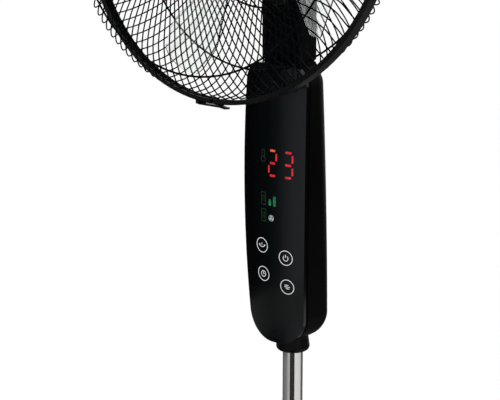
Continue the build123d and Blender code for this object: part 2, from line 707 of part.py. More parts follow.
def make_display_board():
    low, high = [COLUMN_FOOT_Z + rise for rise in BOARD_RISES]
    return block((BOARD_X - BOARD_WIDTH / 2, BOARD_FRONT_Y, low),
                 (BOARD_X + BOARD_WIDTH / 2, BOARD_FRONT_Y + BOARD_THICKNESS, high))


def make_digit_display():
    low, high = [COLUMN_FOOT_Z + rise for rise in DISPLAY_RISES]
    return block((DISPLAY_X - DISPLAY_WIDTH / 2, BOARD_FRONT_Y - DISPLAY_DEPTH, low),
                 (DISPLAY_X + DISPLAY_WIDTH / 2, BOARD_FRONT_Y, high))


def make_touch_pads():
    cavity = column_body(COLUMN_WALL + WELD_GAP)
    return [rod(TOUCH_PAD_RADIUS, (x, -REACH, z), (x, BOARD_FRONT_Y, z)) & cavity for x, z in key_spots()]


def power_board_y():
    return SPINE_FRONT_Y - SPINE_FLANGE


def make_power_board():
    low, high = [COLUMN_FOOT_Z + rise for rise in POWER_BOARD_RISES]
    return block((-POWER_BOARD_WIDTH / 2, power_board_y() - BOARD_THICKNESS, low),
                 (POWER_BOARD_WIDTH / 2, power_board_y(), high))


def make_run_capacitor():
    width, depth, height = CAPACITOR_SIZE
    back = power_board_y() - BOARD_THICKNESS
    foot = COLUMN_FOOT_Z + CAPACITOR_RISE
    case = block((-width / 2, back - depth, foot), (width / 2, back, foot + height))
    return fillet(case.edges().filter_by(Axis.Y), 2.0)


def make_cord_gland():
    z = COLUMN_FOOT_Z + GLAND_RISE
    y = gland_pad_y()
    throat = y - GLAND_PAD_HEIGHT - COLUMN_WALL - 3.0
    gland = rod(GLAND_RADIUS, (0, throat, z), (0, y, z))
    gland += rod(GLAND_FLANGE, (0, y, z), (0, y + GLAND_FLANGE_THICKNESS, z))
    gland -= rod(CORD_RADIUS, (0, throat - 1, z), (0, REACH, z))
    return gland


# Neck and tilt joint

def neck_screw_spots():
    return [(side * NECK_SCREW_X, COLUMN_TOP_Z - drop) for side in (-1, 1) for drop in NECK_SCREW_DROPS]


def neck_back_y():
    return NECK_Y + NECK_DEPTH / 2


def make_neck():
    neck = neck_bar(0, NECK_FOOT_Z, PIVOT_Z + CHEEK_RADIUS)
    side = block((-REACH, NECK_Y - CHEEK_RADIUS, NECK_FOOT_Z), (REACH, NECK_Y + CHEEK_RADIUS, PIVOT_Z))
    side += rod(CHEEK_RADIUS, (-REACH, NECK_Y, PIVOT_Z), (REACH, NECK_Y, PIVOT_Z))
    neck = neck & side
    slot_foot = PIVOT_Z - KNUCKLE_RADIUS - 3.0
    neck -= block((-SLOT_HALF_WIDTH, -REACH, slot_foot), (SLOT_HALF_WIDTH, REACH, 3 * REACH))
    cavity_back = SPINE_BACK_Y + COVER_GAP
    cavity_front = NECK_Y - NECK_DEPTH / 2 + NECK_WALL
    cavity_side = NECK_WIDTH / 2 - NECK_WALL
    cavity_top = PIVOT_Z - NECK_CAVITY_TOP
    neck -= block((-cavity_side, cavity_front, NECK_FOOT_Z - 1), (cavity_side, cavity_back, cavity_top))
    waist_top = COLUMN_TOP_Z + NECK_WAIST_HEIGHT
    neck -= neck_bar(-NECK_WAIST, COLUMN_TOP_Z, waist_top) - neck_bar(NECK_WAIST, COLUMN_TOP_Z, waist_top)
    neck -= rod(TILT_BOLT_RADIUS + SLIP_FIT, (-REACH, NECK_Y, PIVOT_Z), (REACH, NECK_Y, PIVOT_Z))
    for side in (-1, 1):
        seat = (side * tilt_seat_x(), NECK_Y, PIVOT_Z)
        neck -= rod(TILT_HEAD_RADIUS + COVER_GAP, seat, (side * REACH, NECK_Y, PIVOT_Z))
    for x, z in neck_screw_spots():
        neck -= rod(SCREW_RADIUS + SLIP_FIT, (x, 0, z), (x, REACH, z))
        neck -= rod(SCREW_HEAD_RADIUS + COVER_GAP, (x, neck_back_y() - SCREW_HEAD, z), (x, REACH, z))
    return neck


def make_neck_screws():
    return [screw((x, neck_back_y() - SCREW_HEAD, z), (0, -1, 0), SCREW_RADIUS, SCREW_LENGTH / 2,
                  SCREW_HEAD_RADIUS, SCREW_HEAD) for x, z in neck_screw_spots()]


def tilt_seat_x():
    return NECK_WIDTH / 2 - TILT_HEAD - 0.5


def make_tilt_bolt():
    seat = (-tilt_seat_x(), NECK_Y, PIVOT_Z)
    shank = rod(TILT_BOLT_RADIUS, seat, (tilt_seat_x() + TILT_HEAD, NECK_Y, PIVOT_Z))
    head = rod(TILT_HEAD_RADIUS, seat, (-tilt_seat_x() - TILT_HEAD, NECK_Y, PIVOT_Z))
    drive = Plane(origin=(-tilt_seat_x() - TILT_HEAD, NECK_Y, PIVOT_Z), z_dir=(1, 0, 0))
    socket = drive * extrude(RegularPolygon(3.4, 6), 2.5)
    return shank + head - socket


def make_tilt_nut():
    seat = Plane(origin=(tilt_seat_x(), NECK_Y, PIVOT_Z), z_dir=(1, 0, 0))
    nut = seat * extrude(RegularPolygon(TILT_HEAD_RADIUS, 6), TILT_HEAD)
    return nut - rod(TILT_BOLT_RADIUS + RUNNING_FIT, (0, NECK_Y, PIVOT_Z), (REACH, NECK_Y, PIVOT_Z))


def make_tilt_washers():
    inner = KNUCKLE_HALF_WIDTH + RUNNING_FIT
    return [pipe(WASHER_RADIUS, TILT_BOLT_RADIUS + SLIP_FIT, (side * inner, NECK_Y, PIVOT_Z),
                 (side * (inner + WASHER_THICKNESS), NECK_Y, PIVOT_Z)) for side in (-1, 1)]


# Swivel and swing drive, in the head's own frame: origin on the tilt axis, +Z up the swing axis

def gear_face(teeth):
    """Spur gear outline with involute flanks, thinned by the backlash."""
    pitch = GEAR_MODULE * teeth / 2
    base = pitch * cos(radians(20))
    tip = pitch + GEAR_MODULE
    root = pitch - 1.25 * GEAR_MODULE
    half_tooth = pi / (2 * teeth) - GEAR_BACKLASH / (2 * pitch)

    def involute(radius):
        pressure = acos(min(1.0, base / radius))
        return tan(pressure) - pressure

    start = max(base, root)
    radii = [start + (tip - start) * i / 4 for i in range(5)]
    flank = [(r, half_tooth + involute(pitch) - involute(r)) for r in radii]
    points = []
    for i in range(teeth):
        middle = 2 * pi * i / teeth
        points.append((root, middle - flank[0][1]))
        points += [(r, middle - turn) for r, turn in flank]
        points += [(r, middle + turn) for r, turn in reversed(flank)]
        points.append((root, middle + flank[0][1]))
    unique = [p for i, p in enumerate(points) if i == 0 or abs(p[0] - points[i - 1][0]) > 1e-6
              or abs(p[1] - points[i - 1][1]) > 1e-6]
    return make_face(Polyline(*[(r * cos(t), r * sin(t)) for r, t in unique], close=True))


def make_swivel_block():
    knuckle = rod(KNUCKLE_RADIUS, (-KNUCKLE_HALF_WIDTH, 0, 0), (KNUCKLE_HALF_WIDTH, 0, 0))
    depth = KNUCKLE_RADIUS - 1.0
    stem = block((-KNUCKLE_HALF_WIDTH, -depth, 0), (KNUCKLE_HALF_WIDTH, depth, POST_FOOT))
    post = rod(POST_RADIUS, (0, 0, POST_FOOT), (0, 0, POST_TOP))
    swivel = knuckle + stem + post
    swivel -= rod(TILT_BOLT_RADIUS + RUNNING_FIT, (-REACH, 0, 0), (REACH, 0, 0))
    return swivel - rod(SWING_SHAFT_RADIUS + SLIP_FIT, (0, 0, SWING_SHAFT_FOOT), (0, 0, REACH))


def make_swing_shaft():
    shaft = rod(SWING_SHAFT_RADIUS, (0, 0, SWING_SHAFT_FOOT), (0, 0, BUSH_TOP + 3.0))
    groove_foot = BUSH_TOP + COVER_GAP
    groove = pipe(SWING_SHAFT_RADIUS + 1, SWING_SHAFT_RADIUS - 1, (0, 0, groove_foot),
                  (0, 0, groove_foot + CLIP_THICKNESS))
    return shaft - groove


def make_swing_clip():
    foot = BUSH_TOP + COVER_GAP + RUNNING_FIT
    inner = SWING_SHAFT_RADIUS - 1 + RUNNING_FIT
    clip = pipe(CLIP_RADIUS, inner, (0, 0, foot), (0, 0, foot + CLIP_THICKNESS - 2 * RUNNING_FIT))
    return clip - block((0, -inner, 0), (REACH, inner, REACH))


def make_swing_gear():
    gear = Pos(0, 0, POST_TOP) * extrude(gear_face(GEAR_TEETH), GEAR_THICKNESS)
    return gear - rod(SWING_SHAFT_RADIUS + SLIP_FIT, (0, 0, 0), (0, 0, REACH))


def make_swing_pinion():
    foot = POST_TOP + (GEAR_THICKNESS - PINION_THICKNESS) / 2
    half_pitch = 180 / PINION_TEETH
    # a gap of the pinion faces the fixed gear's tooth on the line of centres
    facing = Rot(0, 0, -90 + half_pitch)
    tooth_turn = 90 % (360 / GEAR_TEETH)
    pinion = Pos(0, PINION_Y, foot) * facing * extrude(gear_face(PINION_TEETH), PINION_THICKNESS)
    shaft_top = foot + PINION_THICKNESS + PINION_SHAFT_LENGTH
    pinion = pinion + rod(PINION_SHAFT_RADIUS, (0, PINION_Y, foot), (0, PINION_Y, shaft_top))
    turn_back = tooth_turn * GEAR_TEETH / PINION_TEETH
    return Pos(0, PINION_Y, 0) * Rot(0, 0, -turn_back) * Pos(0, -PINION_Y, 0) * pinion


def make_swing_motor():
    case = turned(
        (0, BRACKET_FOOT - SWING_MOTOR_HEIGHT, 0),
        (SWING_MOTOR_RADIUS, BRACKET_FOOT - SWING_MOTOR_HEIGHT, 1.5),
        (SWING_MOTOR_RADIUS, BRACKET_FOOT, 0),
        (0, BRACKET_FOOT, 0),
    )
    case = Pos(0, PINION_Y, 0) * case
    case -= rod(PINION_SHAFT_RADIUS + RUNNING_FIT, (0, PINION_Y, 0), (0, PINION_Y, BRACKET_FOOT - 1.5))
    for x, y, z in swing_motor_screw_spots():
        case -= rod(SCREW_RADIUS + SLIP_FIT, (x, y, BRACKET_FOOT - SWING_MOTOR_HEIGHT + 4.0), (x, y, REACH))
    return case


def make_swing_bush():
    return pipe(BUSH_RADIUS, SWING_SHAFT_RADIUS + RUNNING_FIT, (0, 0, BUSH_FOOT), (0, 0, BUSH_TOP))


def bell_foot_spots():
    """Where the two motor bells stand on the bracket, in the head's frame."""
    spots = []
    for along in (STATOR_FRONT + BELL_FOOT / 2, STATOR_BACK - BELL_FOOT / 2):
        spots += [(side * BRACKET_SCREW_X, -RING_FORWARD - along) for side in (-1, 1)]
    return spots


def swing_motor_screw_spots():
    reach = SWING_MOTOR_RADIUS - 5.0
    return [(side * reach, PINION_Y, BRACKET_TOP) for side in (-1, 1)]


def make_bracket_screws():
    length = SCREW_LENGTH / 2
    up = [screw((x, y, BRACKET_FOOT), (0, 0, 1), SCREW_RADIUS, length, SCREW_HEAD_RADIUS, SCREW_HEAD)
          for x, y in bell_foot_spots()]
    down = [screw(spot, (0, 0, -1), SCREW_RADIUS, length, SCREW_HEAD_RADIUS, SCREW_HEAD)
            for spot in swing_motor_screw_spots()]
    return up + down


def make_motor_bracket():
    plate = block((-BRACKET_HALF_WIDTH, -BRACKET_FRONT, BRACKET_FOOT),
                  (BRACKET_HALF_WIDTH, BRACKET_BACK, BRACKET_TOP))
    plate &= Pos(0, 0, BRACKET_FOOT) * extrude(chin_face(COVER_WALL + CHIN_GAP), BRACKET_THICKNESS)
    boss = rod(BRACKET_BOSS_RADIUS, (0, 0, BUSH_FOOT), (0, 0, BRACKET_FOOT))
    bracket = plate + boss
    bracket -= rod(BUSH_RADIUS + RUNNING_FIT, (0, 0, BUSH_FOOT), (0, 0, BUSH_TOP))
    bracket -= rod(CLIP_RADIUS + COVER_GAP, (0, 0, BUSH_TOP), (0, 0, REACH))
    for x, y in bell_foot_spots():
        bracket -= rod(SCREW_RADIUS + SLIP_FIT, (x, y, 0), (x, y, REACH))
    for x, y, z in swing_motor_screw_spots():
        bracket -= rod(SCREW_RADIUS + SLIP_FIT, (x, y, 0), (x, y, REACH))
    return bracket


# Motor, in the fan's frame: origin in the ring's middle plane, +Z forward along the axis, +Y up

def fan_y(rise):
    """Height above the tilt axis turned into the fan frame's Y."""
    return rise - AXIS_RISE


def make_bell(face, inward):
    """Motor end bell: a cup over the stator's end with a bearing seat and a foot on the bracket."""
    lap = face + inward * (BELL_DEPTH + BELL_LAP)
    wall = face + inward * 3.0
    seat = face + inward * (BEARING_LENGTH + 3.0)
    cup = turned(
        (BEARING_RADIUS + RUNNING_FIT, face, 0),
        (BELL_RADIUS, face, 4.0),
        (BELL_RADIUS, lap, 0),
        (STATOR_RADIUS + SLIP_FIT, lap, 0),
        (STATOR_RADIUS + SLIP_FIT, wall, 3.0),
        (BEARING_RADIUS + 3.0, wall, 0),
        (BEARING_RADIUS + 3.0, seat, 0),
        (BEARING_RADIUS + RUNNING_FIT, seat, 0),
    )
    rim = face + inward * BELL_DEPTH
    foot_low, foot_high = sorted((rim, rim - inward * BELL_FOOT))
    foot = block((-BELL_FOOT_HALF_WIDTH, fan_y(BRACKET_TOP), foot_low),
                 (BELL_FOOT_HALF_WIDTH, fan_y(BRACKET_TOP) + 12.0, foot_high))
    bell = cup + (foot - rod(STATOR_RADIUS + SLIP_FIT, (0, 0, -REACH), (0, 0, REACH)))
    middle = (foot_low + foot_high) / 2
    for side in (-1, 1):
        x = side * BRACKET_SCREW_X
        seat = fan_y(BRACKET_TOP)
        bell -= rod(SCREW_RADIUS + SLIP_FIT, (x, seat - 1, middle), (x, seat + 5.0, middle))
    return bell


def make_front_bell():
    bell = make_bell(FRONT_BELL_FACE, -1)
    for spot in cover_screw_spots():
        bell -= rod(SCREW_RADIUS + SLIP_FIT, (spot[0], spot[1], -REACH), (spot[0], spot[1], REACH))
    return bell


def make_rear_bell():
    bell = make_bell(REAR_BELL_FACE, 1)
    for side in (-1, 1):
        x = side * REAR_SCREW_X
        bell -= rod(SCREW_RADIUS + SLIP_FIT, (x, 0, -REACH), (x, 0, STATOR_BACK))
    return bell


def make_motor_bushes():
    inner, outer = SHAFT_RADIUS + RUNNING_FIT, BEARING_RADIUS
    front = pipe(outer, inner, (0, 0, FRONT_BELL_FACE - BEARING_LENGTH), (0, 0, FRONT_BELL_FACE))
    rear = pipe(outer, inner, (0, 0, REAR_BELL_FACE), (0, 0, REAR_BELL_FACE + BEARING_LENGTH))
    return [front, rear]


def make_stator_core():
    core = pipe(STATOR_RADIUS, STATOR_BORE, (0, 0, STATOR_BACK), (0, 0, STATOR_FRONT))
    slot = rod(SLOT_RADIUS + SLIP_FIT, (SLOT_CIRCLE, 0, -REACH), (SLOT_CIRCLE, 0, REACH))
    for cut in around(slot, SLOT_COUNT):
        core -= cut
    return core


def make_stator_winding():
    inner, outer = SLOT_CIRCLE - SLOT_RADIUS - 1.0, SLOT_CIRCLE + SLOT_RADIUS + 1.0
    winding = pipe(outer, inner, (0, 0, STATOR_FRONT + COVER_GAP), (0, 0, STATOR_FRONT + COIL_HEAD))
    winding += pipe(outer, inner, (0, 0, STATOR_BACK - COIL_HEAD), (0, 0, STATOR_BACK - COVER_GAP))
    bar = rod(SLOT_RADIUS, (SLOT_CIRCLE, 0, STATOR_BACK - 1), (SLOT_CIRCLE, 0, STATOR_FRONT + 1))
    for copy in around(bar, SLOT_COUNT):
        winding += copy
    return winding


def make_rotor_core():
    bore = SHAFT_RADIUS + RUNNING_FIT / 2
    return pipe(STATOR_BORE - AIR_GAP, bore, (0, 0, STATOR_BACK), (0, 0, STATOR_FRONT))


def cover_screw_spots():
    return [(COVER_SCREW_CIRCLE * cos(radians(a)), COVER_SCREW_CIRCLE * sin(radians(a)))
            for a in (30, 150, 270)]


def make_motor_front_cover():
    cover = turned(
        (SNOUT_BORE, COVER_FACE - 4.0, 0),
        (COVER_RADIUS - COVER_WALL, COVER_FACE - 4.0, 2.0),
        (COVER_RADIUS - COVER_WALL, REAR_COVER_FRONT + COVER_GAP, 0),
        (COVER_RADIUS, REAR_COVER_FRONT + COVER_GAP, 0),
        (COVER_RADIUS, COVER_FACE, 3.0),
        (SNOUT_RADIUS, COVER_FACE, 0),
        (SNOUT_RADIUS, COVER_FACE + SNOUT_LENGTH, 1.0),
        (SNOUT_BORE, COVER_FACE + SNOUT_LENGTH, 0),
    )
    for x, y in cover_screw_spots():
        cover += rod(SCREW_BOSS, (x, y, FRONT_BELL_FACE), (x, y, COVER_FACE - 2.0))
        cover -= rod(SCREW_RADIUS + SLIP_FIT, (x, y, -REACH), (x, y, REACH))
        cover -= rod(SCREW_HEAD_RADIUS + COVER_GAP, (x, y, COVER_FACE - SCREW_HEAD), (x, y, REACH))
    return cover


def rear_seat():
    """Where the rear cover's screw heads sit."""
    return REAR_BELL_FACE - 8.0


def make_cover_screws():
    face = COVER_FACE - SCREW_HEAD
    front = [screw((x, y, face), (0, 0, -1), SCREW_RADIUS, SCREW_LENGTH, SCREW_HEAD_RADIUS, SCREW_HEAD)
             for x, y in cover_screw_spots()]
    seats = [(side * REAR_SCREW_X, 0, rear_seat()) for side in (-1, 1)]
    rear = [screw(seat, (0, 0, 1), SCREW_RADIUS, SCREW_LENGTH - 2.0, SCREW_HEAD_RADIUS, SCREW_HEAD)
            for seat in seats]
    return front + rear


def cover_shell(inset):
    """Rear cover's turned form, moved in by a wall."""
    radius = COVER_RADIUS - inset
    back = REAR_COVER_BACK + inset
    front = REAR_COVER_FRONT + (1.0 if inset else 0.0)
    return turned(
        (0, front, 0),
        (radius, front, 0),
        (radius, REAR_COVER_FRONT - COVER_BARREL, COVER_BARREL_ROUND),
        (radius - COVER_TAPER, back + COVER_CROWN, COVER_CROWN_ROUND),
        (radius - COVER_BACK_SETBACK, back, COVER_BACK_ROUND),
        (0, back, 0),
    )


def chin_face(inset):
    """Chin under the rear cover seen from above: a hull round the swing gear and the swing motor."""
    front = GEAR_TIP_RADIUS + CHIN_GAP + COVER_WALL - inset
    back = SWING_MOTOR_RADIUS + CHIN_GAP + COVER_WALL - inset
    circles = Circle(front).edges() + (Pos(0, PINION_Y) * Circle(back)).edges()
    return make_hull(circles)


def chin(inset, low, high):
    """Upright prism of the chin, in the fan's frame."""
    upright = Pos(0, 0, low) * extrude(chin_face(inset), high - low)
    return FAN.inverse() * HEAD * upright


def make_rear_cover():
    body = cover_shell(0) + chin(0, CHIN_FOOT, CHIN_TOP)
    cavity = cover_shell(COVER_WALL) + chin(COVER_WALL, CHIN_FOOT - 1, CHIN_TOP)
    cover = body - cavity
    for side in (-1, 1):
        x = side * REAR_SCREW_X
        cover += rod(SCREW_BOSS, (x, 0, REAR_COVER_BACK), (x, 0, REAR_BELL_FACE)) & cover_shell(0)
        cover -= rod(SCREW_RADIUS + SLIP_FIT, (x, 0, -REACH), (x, 0, REACH))
        cover -= rod(SCREW_HEAD_RADIUS + COVER_GAP, (x, 0, -REACH), (x, 0, rear_seat()))
    for i in range(VENT_COUNT):
        y = (i - (VENT_COUNT - 1) / 2) * VENT_PITCH
        reach = min(sqrt(VENT_REACH**2 - y**2), REAR_SCREW_X - SCREW_BOSS - 2.0)
        cover -= block((-reach, y - VENT_HEIGHT / 2, REAR_COVER_BACK - 1),
                       (reach, y + VENT_HEIGHT / 2, REAR_COVER_BACK + 16.0))
    return cover


def make_bottom_plate():
    plate = Pos(0, 0, CHIN_FOOT) * extrude(chin_face(COVER_WALL + COVER_GAP), COVER_WALL)
    return plate - rod(POST_RADIUS + MOVING_GAP, (0, 0, 0), (0, 0, REACH))


# Guards

def polar(radius, turn, along):
    """Point from a radius, an angle in degrees and a place along the axis."""
    return (radius * cos(radians(turn)), radius * sin(radians(turn)), along)


def front_rib_path():
    """Front rib from the ring over the shoulder to the badge; it swirls counter-clockwise going out."""
    seat, shoulder, swirl, centre = FRONT_TURNS
    return FilletPolyline(
        polar(RIB_SEAT_RADIUS, seat, COVER_GAP + RIM_WIRE / 2),
        polar(RING_RADIUS - FRONT_SHOULDER_SETBACK, shoulder, FRONT_SHOULDER_DEPTH),
        polar(RING_RADIUS - FRONT_SWIRL_SETBACK, swirl, FRONT_SWIRL_DEPTH),
        polar(FRONT_INNER_RADIUS, centre, FRONT_CENTRE_DEPTH),
        radius=[FRONT_BEND, FRONT_SWIRL_BEND])


def rear_rib_path():
    """Rear rib from the ring round a deep shoulder to the rear plate, close to radial."""
    seat, shoulder, centre = REAR_TURNS
    return FilletPolyline(
        polar(RIB_SEAT_RADIUS, seat, -COVER_GAP - RIM_WIRE / 2),
        polar(RING_RADIUS - REAR_SHOULDER_SETBACK, shoulder, REAR_SHOULDER_DEPTH),
        polar(REAR_INNER_RADIUS, centre, REAR_CENTRE_DEPTH),
        radius=[REAR_BEND])


def ribs(path):
    """All ribs of one guard, each a round wire along the same bent path."""
    section = Plane(origin=path @ 0, z_dir=path % 0) * Circle(RIB_WIRE)
    return around(sweep(section, path), RIB_COUNT)


def hoop(radius, wire, along):
    return Pos(0, 0, along) * Torus(radius, wire)


def along_at(path, radius):
    """Place along the axis where a rib, which runs inward from the ring, crosses a radius."""
    near, far = 0.0, 1.0
    for _ in range(30):
        middle = (near + far) / 2
        point = path @ middle
        if sqrt(point.X**2 + point.Y**2) > radius:
            near = middle
        else:
            far = middle
    return (path @ near).Z


def guard_hoops(path, setbacks, inward, rim_along):
    """Rim wire and the hoops that lie inside the ribs."""
    gap = HOOP_WIRE + WELD_GAP + RIB_WIRE
    hoops = [hoop(RIM_RADIUS, RIM_WIRE, rim_along)]
    for setback in setbacks:
        radius = RING_RADIUS - setback
        slope = along_at(path, radius + 0.5) - along_at(path, radius - 0.5)
        rise = gap * sqrt(1 + slope**2)
        hoops.append(hoop(radius, HOOP_WIRE, along_at(path, radius) + inward * rise))
    return hoops


def make_front_guard_ribs():
    return ribs(front_rib_path())


def make_rear_guard_ribs():
    return ribs(rear_rib_path())


def make_front_guard_hoops():
    return guard_hoops(front_rib_path(), FRONT_HOOP_SETBACKS, -1, RIM_OFFSET)


def make_rear_guard_hoops():
    return guard_hoops(rear_rib_path(), REAR_HOOP_SETBACKS, 1, -RIM_OFFSET)


def make_rear_guard_plate():
    front = REAR_CENTRE_DEPTH - RIB_WIRE - WELD_GAP
    plate = pipe(REAR_PLATE_RADIUS, SNOUT_RADIUS + SLIP_FIT, (0, 0, COVER_FACE), (0, 0, front))
    return plate


def make_guard_nut():
    back = REAR_CENTRE_DEPTH - RIB_WIRE - WELD_GAP
    nut = turned(
        (SNOUT_RADIUS + SLIP_FIT, back, 0),
        (GUARD_NUT_RADIUS, back, 0),
        (GUARD_NUT_RADIUS, back + GUARD_NUT_THICKNESS, 1.5),
        (SNOUT_RADIUS + SLIP_FIT, back + GUARD_NUT_THICKNESS, 0),
    )
    grip = GUARD_NUT_RADIUS + 1.0
    notch = rod(GUARD_NUT_GRIP_RADIUS, (grip, 0, -REACH), (grip, 0, REACH))
    for cut in around(notch, GUARD_NUT_GRIPS):
        nut -= cut
    return nut


def badge_back():
    return FRONT_CENTRE_DEPTH + RIB_WIRE + WELD_GAP


def make_front_badge():
    back = badge_back()
    badge = turned(
        (0, back, 0),
        (BADGE_RADIUS, back, 0),
        (BADGE_RADIUS, back + BADGE_RIM, 1.2),
        (BADGE_RADIUS - 8.0, back + BADGE_RIM + BADGE_DOME * 0.7, 14.0),
        (0, back + BADGE_RIM + BADGE_DOME, 0),
    )
    post = rod(BADGE_POST_RADIUS, (BADGE_POST_CIRCLE, 0, badge_plate_front()), (BADGE_POST_CIRCLE, 0, back))
    for copy in around(post, BADGE_POSTS, 90):
        badge += copy
    return badge


def badge_plate_front():
    return along_at(front_rib_path(), BADGE_RADIUS + 2.0) - RIB_WIRE - WELD_GAP


def make_badge_plate():
    front = badge_plate_front()
    bore = BADGE_POST_CIRCLE - 2 * BADGE_POST_RADIUS
    return pipe(BADGE_RADIUS + 2.0, bore, (0, 0, front - BADGE_PLATE_THICKNESS), (0, 0, front))


# Clamp ring and its latch

def latch_pivot():
    """Latch pivot in the fan's frame: just outside the ring, left of its lowest point."""
    return (LATCH_LEFT, -sqrt((RING_RADIUS + LATCH_PIVOT_LIFT) ** 2 - LATCH_LEFT**2))


def ear_slot():
    return LATCH_WIDTH / 2 + MOVING_GAP


def make_guard_ring():
    half = RING_WIDTH / 2
    ring = turned(
        (LIP_RADIUS, -half, 0),
        (RING_RADIUS, -half, RING_ROUND),
        (RING_RADIUS, half, RING_ROUND),
        (LIP_RADIUS, half, 0),
        (LIP_RADIUS, half - RING_LIP, 0),
        (RING_BORE, half - RING_LIP, 0),
        (RING_BORE, -half + RING_LIP, 0),
        (LIP_RADIUS, -half + RING_LIP, 0),
    )
    x, y = latch_pivot()
    ear_end = ear_slot() + EAR_THICKNESS
    ears = rod(EAR_RADIUS, (x, y, -ear_end), (x, y, ear_end))
    ears += block((x - EAR_RADIUS, y, -ear_end), (x + EAR_RADIUS, y + 2 * EAR_RADIUS, ear_end))
    ears -= block((x - REACH, y - REACH, -ear_slot()), (x + REACH, y + REACH, ear_slot()))
    catch_x = LATCH_RIGHT - CATCH_SETBACK
    catch = block((catch_x - CATCH_LENGTH, -RING_RADIUS - CATCH_RISE, -LATCH_WIDTH / 2),
                  (catch_x, -RING_BORE, LATCH_WIDTH / 2))
    ring += (ears + catch) - rod(RING_BORE, (0, 0, -REACH), (0, 0, REACH))
    ring -= rod(LATCH_TRUNNION + RUNNING_FIT, (x, y, -REACH), (x, y, REACH))
    return ring - block((-RING_SPLIT / 2, -REACH, -REACH), (RING_SPLIT / 2, 0, REACH))


def make_ring_latch():
    x, y = latch_pivot()
    half = LATCH_WIDTH / 2
    top = -RING_RADIUS - CATCH_RISE - MOVING_GAP
    foot = top - LATCH_THICKNESS
    nib_x = LATCH_RIGHT - CATCH_SETBACK + MOVING_GAP
    bar = make_face(Polyline(
        (x - LATCH_KNUCKLE, top),
        (nib_x, top),
        (nib_x, top + CATCH_RISE),
        (nib_x + LATCH_THICKNESS, top),
        (LATCH_RIGHT, top - LATCH_KICK),
        (LATCH_RIGHT - LATCH_KICK, foot - LATCH_KICK),
        (nib_x + LATCH_THICKNESS, foot),
        (x, foot),
        close=True))
    lever = extrude(bar, half, both=True)
    lever += rod(LATCH_KNUCKLE, (x, y, -half), (x, y, half))
    ear_end = ear_slot() + EAR_THICKNESS
    lever += rod(LATCH_TRUNNION, (x, y, -ear_end), (x, y, ear_end))
    return lever


# Rotor

def make_shaft():
    shaft = rod(SHAFT_RADIUS, (0, 0, SHAFT_BACK), (0, 0, SHAFT_FRONT))
    hole = DRIVE_PIN_RADIUS + RUNNING_FIT / 2
    return shaft - rod(hole, (-REACH, 0, DRIVE_PIN_AT), (REACH, 0, DRIVE_PIN_AT))


def make_drive_pin():
    end = DRIVE_PIN_HALF_LENGTH
    return rod(DRIVE_PIN_RADIUS, (-end, 0, DRIVE_PIN_AT), (end, 0, DRIVE_PIN_AT))


def blade_section(radius, chord, pitch, along, camber):
    """Cambered strip square to the radius: across is tangential, up is along the axis."""
    c, s = cos(radians(pitch)) * chord / 2, sin(radians(pitch)) * chord / 2
    nx, ny = -sin(radians(pitch)), cos(radians(pitch))
    thick = BLADE_THICKNESS / 2

    def at(x, y, lift):
        return (x + nx * lift, along + y + ny * lift)

    lines = [
        ThreePointArc(at(-c, -s, thick), at(0, 0, camber + thick), at(c, s, thick)),
        Line(at(c, s, thick), at(c, s, -thick)),
        ThreePointArc(at(c, s, -thick), at(0, 0, camber - thick), at(-c, -s, -thick)),
        Line(at(-c, -s, -thick), at(-c, -s, thick)),
    ]
    plane = Plane(origin=(radius, 0, 0), x_dir=(0, 1, 0), z_dir=(1, 0, 0))
    return plane * make_face(lines)


def blade_strip(share):
    """Strip of a blade at a share of the way from its root to just past its tip."""
    spans = ((BLADE_CHORDS, 0.75), (BLADE_PITCHES, 1), (BLADE_PLACES, 1), (BLADE_CAMBERS, 1))
    chord, pitch, place, camber = [root + (tip - root) * share**bulge for (root, tip), bulge in spans]
    return blade_section(BLADE_ROOT + (1.02 * BLADE_TIP - BLADE_ROOT) * share, chord, pitch, place, camber)


def make_blade():
    """One blade, along +X: a loft through strips, cut to a petal outline in shares of its length."""
    petal = [
        (0, -0.11, 0), (0.38, -0.24, 0.16), (0.815, -0.337, 0.16), (1, -0.217, 0.12),
        (1, 0.239, 0.14), (0.76, 0.315, 0.22), (0.38, 0.217, 0.16), (0, 0.11, 0),
    ]
    corners = [(x * BLADE_TIP, y * BLADE_TIP, r * BLADE_TIP) for x, y, r in petal]
    outline = extrude(rounded_face(corners, Plane.XY), REACH, both=True)
    blade = loft([blade_strip(i / (BLADE_STRIPS - 1)) for i in range(BLADE_STRIPS)])
    return blade & outline & rod(BLADE_TIP, (0, 0, -REACH), (0, 0, REACH))


def make_fan_blade():
    hub = turned(
        (HUB_BOSS, HUB_BACK + 2.0, 0),
        (HUB_BOSS, HUB_FRONT - HUB_WALL, 1.0),
        (HUB_RADIUS - HUB_WALL, HUB_FRONT - HUB_WALL, 5.0),
        (HUB_RADIUS - HUB_WALL, HUB_BACK, 0),
        (HUB_RADIUS, HUB_BACK, 0),
        (HUB_RADIUS, HUB_FRONT, 7.0),
        (SHAFT_RADIUS + RUNNING_FIT, HUB_FRONT, 0),
        (SHAFT_RADIUS + RUNNING_FIT, HUB_BACK + 2.0, 0),
    )
    core = rod(HUB_RADIUS - HUB_WALL / 2, (0, 0, -REACH), (0, 0, REACH))
    for blade in around(make_blade() - core, BLADE_COUNT, BLADE_START):
        hub += blade
    half_length = DRIVE_PIN_HALF_LENGTH + 1
    half_width = DRIVE_PIN_RADIUS + RUNNING_FIT
    slot = block((-half_length, -half_width, HUB_BACK),
                 (half_length, half_width, DRIVE_PIN_AT + half_width))
    return hub - slot


